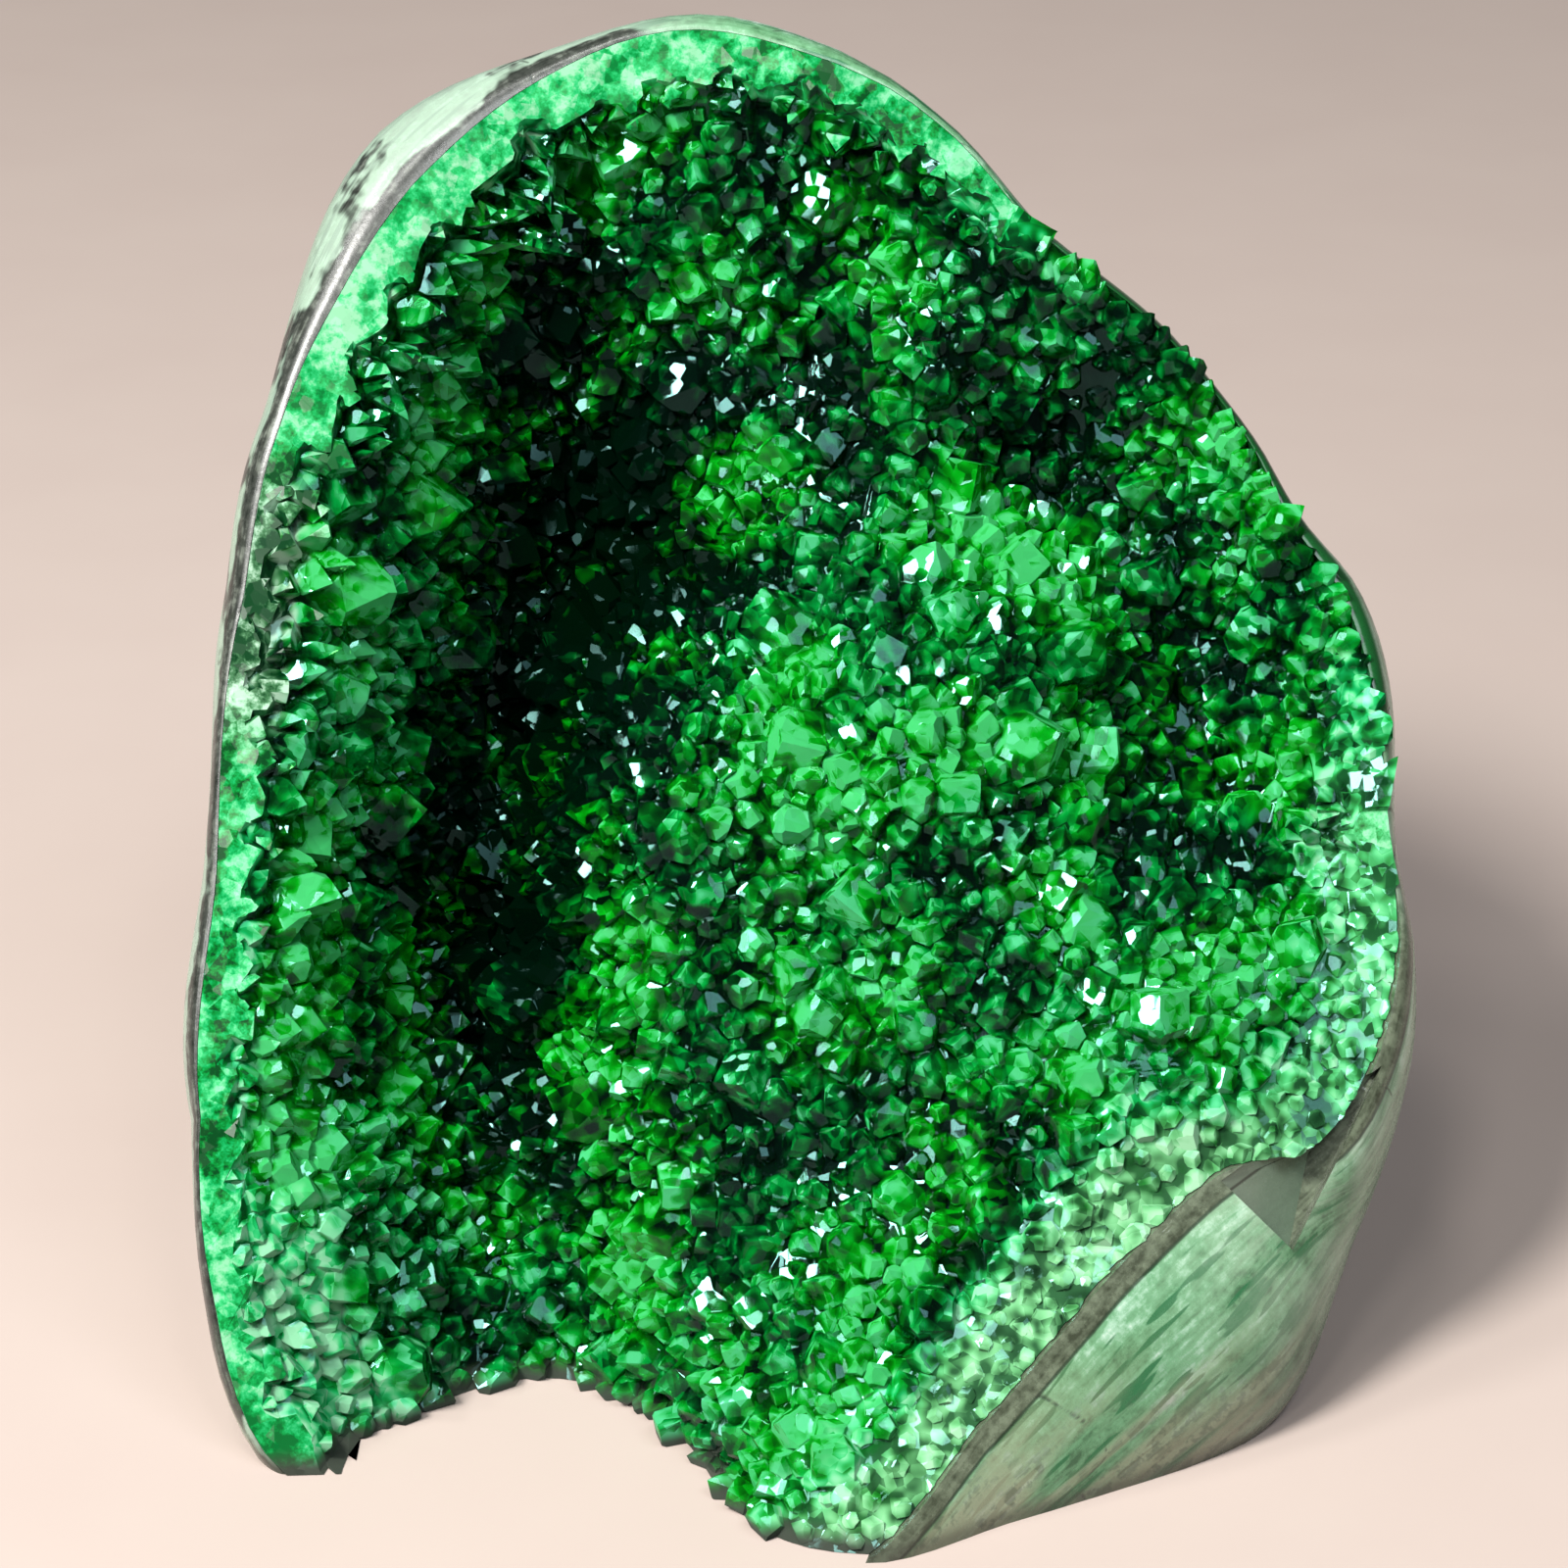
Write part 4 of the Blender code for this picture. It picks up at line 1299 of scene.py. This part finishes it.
def tinged_base(f, rock, height, grain):
    """The rock with a brownish tinge and a rough dark line near the base."""
    low = (1.0 - height.rise(0.001, 0.016)) * grain.broad.rise(0.42, 0.60)
    rock = f.blend(low * 0.7, rock, colour(0.230, 0.215, 0.150))
    rough = (1.0 - height.rise(0.002, 0.015)) * grain.fine.rise(0.46, 0.56) * grain.streaks.rise(0.40, 0.55)
    return f.blend(rough * 0.55, rock, colour(0.030, 0.050, 0.028))


def rock_finish():
    """Polished grey-green rock with streaks along the border, a dark rind and a smooth bevel."""
    f = Finish("polished rock")
    place = f.place()
    height = f.height(place)
    grain = Grain(f, place)
    outside = f.kept("outside")
    cut = f.kept("cut")
    lower_right = f.kept("lower_right")
    upper_left = f.kept("upper_left")
    streaked = (grain.streaks * 0.5 + grain.patch * 0.5).rise(0.35, 0.60)
    rind = upper_left * ((1.0 - outside.rise(0.6, 2.4)) * 0.45 + 0.38)
    dark = (rind + (grain.patch - 0.5) * 1.6 + (grain.streaks - 0.5) * 0.6).rise(0.42, 0.60)
    # The upper left turns pale grey: partly the rock's own grey, partly a painted sheen of the polish.
    green = f.blend(upper_left * 0.6, sage_rock(f, grain), colour(0.300, 0.350, 0.310))
    rock = f.blend(dark, green, basalt_rock(f, grain))
    rock = f.blend(outside.rise(9.0, 26.0), rock, hide_rock(f, grain))
    rock = f.blend(f.kept("flank") * streaked * 0.55, rock, colour(0.355, 0.430, 0.335))
    broken = f.kept("natural") * (1.0 - outside.rise(1.2, 2.2))
    rock = f.blend(broken, rock, colour(0.004, 0.060, 0.012))
    rock = tinged_base(f, rock, height, grain)
    cracked = cracks(f, place, grain)
    rock = f.blend(cracked * 0.75, rock, colour(0.020, 0.026, 0.018))
    strip = (1.0 - outside.rise(1.7, 2.0)) * lower_right
    rock = f.blend(strip.larger(cut.rise(0.4, 0.9)), rock, bevel_rock(f, grain))
    # Painted light: the notch's ledge faces away from the key light and is painted paler.
    painted_lit_ledge = cut.rise(0.1, 0.3) * (1.0 - cut.rise(0.5, 0.8))
    rock = f.blend(painted_lit_ledge * 0.9, rock, colour(0.150, 0.200, 0.145))
    # Painted contact shadow: the rock darkens in a thin band where it meets the floor.
    painted_contact_shadow = 1.0 - height.rise(0.0004, 0.0020)
    rock = f.blend(painted_contact_shadow * 0.6, rock, colour(0.020, 0.022, 0.016))
    # Painted shadow: a thin dark line along the outer edge of the bevel strip, at its step to the polished
    # shell.
    painted_step_shadow = outside.rise(1.65, 1.85) * (1.0 - outside.rise(1.95, 2.15)) * lower_right
    rock = f.blend(painted_step_shadow * 0.8, rock, colour(0.010, 0.010, 0.007))
    return f.close(f.surface({
        "Base Color": rock, "Roughness": 0.20 + grain.fine * 0.14, "IOR": 1.52,
        "Normal": f.bump(grain.fine * 0.5 - cracked, 0.25, 0.0002),
    }))


def floor_finish():
    """The plain floor, with a faint unevenness."""
    f = Finish("pale floor")
    grain = f.noise(f.place(), 40.0, 3.0)
    shade = f.blend(grain, colour(0.358, 0.291, 0.261), colour(0.380, 0.315, 0.282))
    return f.close(f.surface({"Base Color": shade, "Roughness": 0.75}))


def new_piece(mesh, finishes, node):
    """An object that stands for a CAD node."""
    mesh.materials.clear()
    for finish in finishes:
        mesh.materials.append(finish)
    piece = bpy.data.objects.new(mesh.name, mesh)
    bpy.context.scene.collection.objects.link(piece)
    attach(piece, "root")
    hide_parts(node)
    return piece


def make_floor():
    """The floor that the geode stands on, which belongs to the stage."""
    form = bmesh.new()
    bmesh.ops.create_grid(form, x_segments=1, y_segments=1, size=4.0)
    mesh = bpy.data.meshes.new("floor")
    form.to_mesh(mesh)
    form.free()
    mesh.materials.append(floor_finish())
    floor = bpy.data.objects.new("floor", mesh)
    bpy.context.scene.collection.objects.link(floor)


def area_light(name, place, size, watts, tint):
    """A round lamp that faces the geode."""
    lamp = bpy.data.lights.new(name, "AREA")
    lamp.shape = "DISK"
    lamp.size = size
    lamp.energy = watts
    lamp.color = tint
    lit = bpy.data.objects.new(name, lamp)
    lit.location = place
    lit.rotation_euler = (Vector(LAMP_AIM) - Vector(place)).to_track_quat("-Z", "Y").to_euler()
    bpy.context.scene.collection.objects.link(lit)


def light_studio():
    """A warm key light at the left, a cool one at the right, the small lamps and a dim grey sky."""
    area_light("key", (-0.45, -0.50, 0.80), 0.26, 20.0, (1.0, 0.98, 0.94))
    area_light("sky", (0.45, -0.55, 1.05), 0.5, 5.0, (0.82, 0.91, 1.0))
    for number, place in enumerate(SPARKS):
        area_light(f"spark_{number}", place, 0.15, 1.8, (1.0, 0.99, 0.97))
    sky = bpy.data.worlds.new("studio")
    bpy.context.scene.world = sky
    sky.use_nodes = True
    back = sky.node_tree.nodes["Background"]
    back.inputs["Color"].default_value = (0.50, 0.52, 0.55, 1.0)
    back.inputs["Strength"].default_value = 0.20


def place_camera():
    """The photograph's view: square on to the face, as far away as its perspective says."""
    target = Vector(world(0.0, FRAME_MIDDLE, 0.0))
    way = Vector(world(0.0, 0.0, 1.0) - world(0.0, 0.0, 0.0))
    lens = bpy.data.cameras.new("camera")
    lens.sensor_width = 36.0
    lens.lens = CAMERA_LENS
    lens.clip_start = 0.01
    camera = bpy.data.objects.new("camera", lens)
    camera.location = target + way * CAMERA_DISTANCE
    camera.rotation_euler = (-way).to_track_quat("-Z", "Y").to_euler()
    bpy.context.scene.collection.objects.link(camera)
    bpy.context.scene.camera = camera


def main():
    relief = Relief()
    directions = np.arange(SEGMENTS) * 360.0 / SEGMENTS - 180.0
    place_camera()
    light_studio()
    make_floor()
    shell = make_shell(relief, directions)
    new_piece(shell, [rock_finish()], "rock_shell")
    crust = make_crust(relief, directions)
    new_piece(crust, [quartz_finish(), cut_quartz_finish()], "crystal_crust")
    cut = read_numbers(crust, "cut") > 0.5
    crust.polygons.foreach_set("material_index", cut.astype(np.int32))
    bpy.context.scene.view_settings.view_transform = "Standard"


main()
bpy.context.view_layer.update()
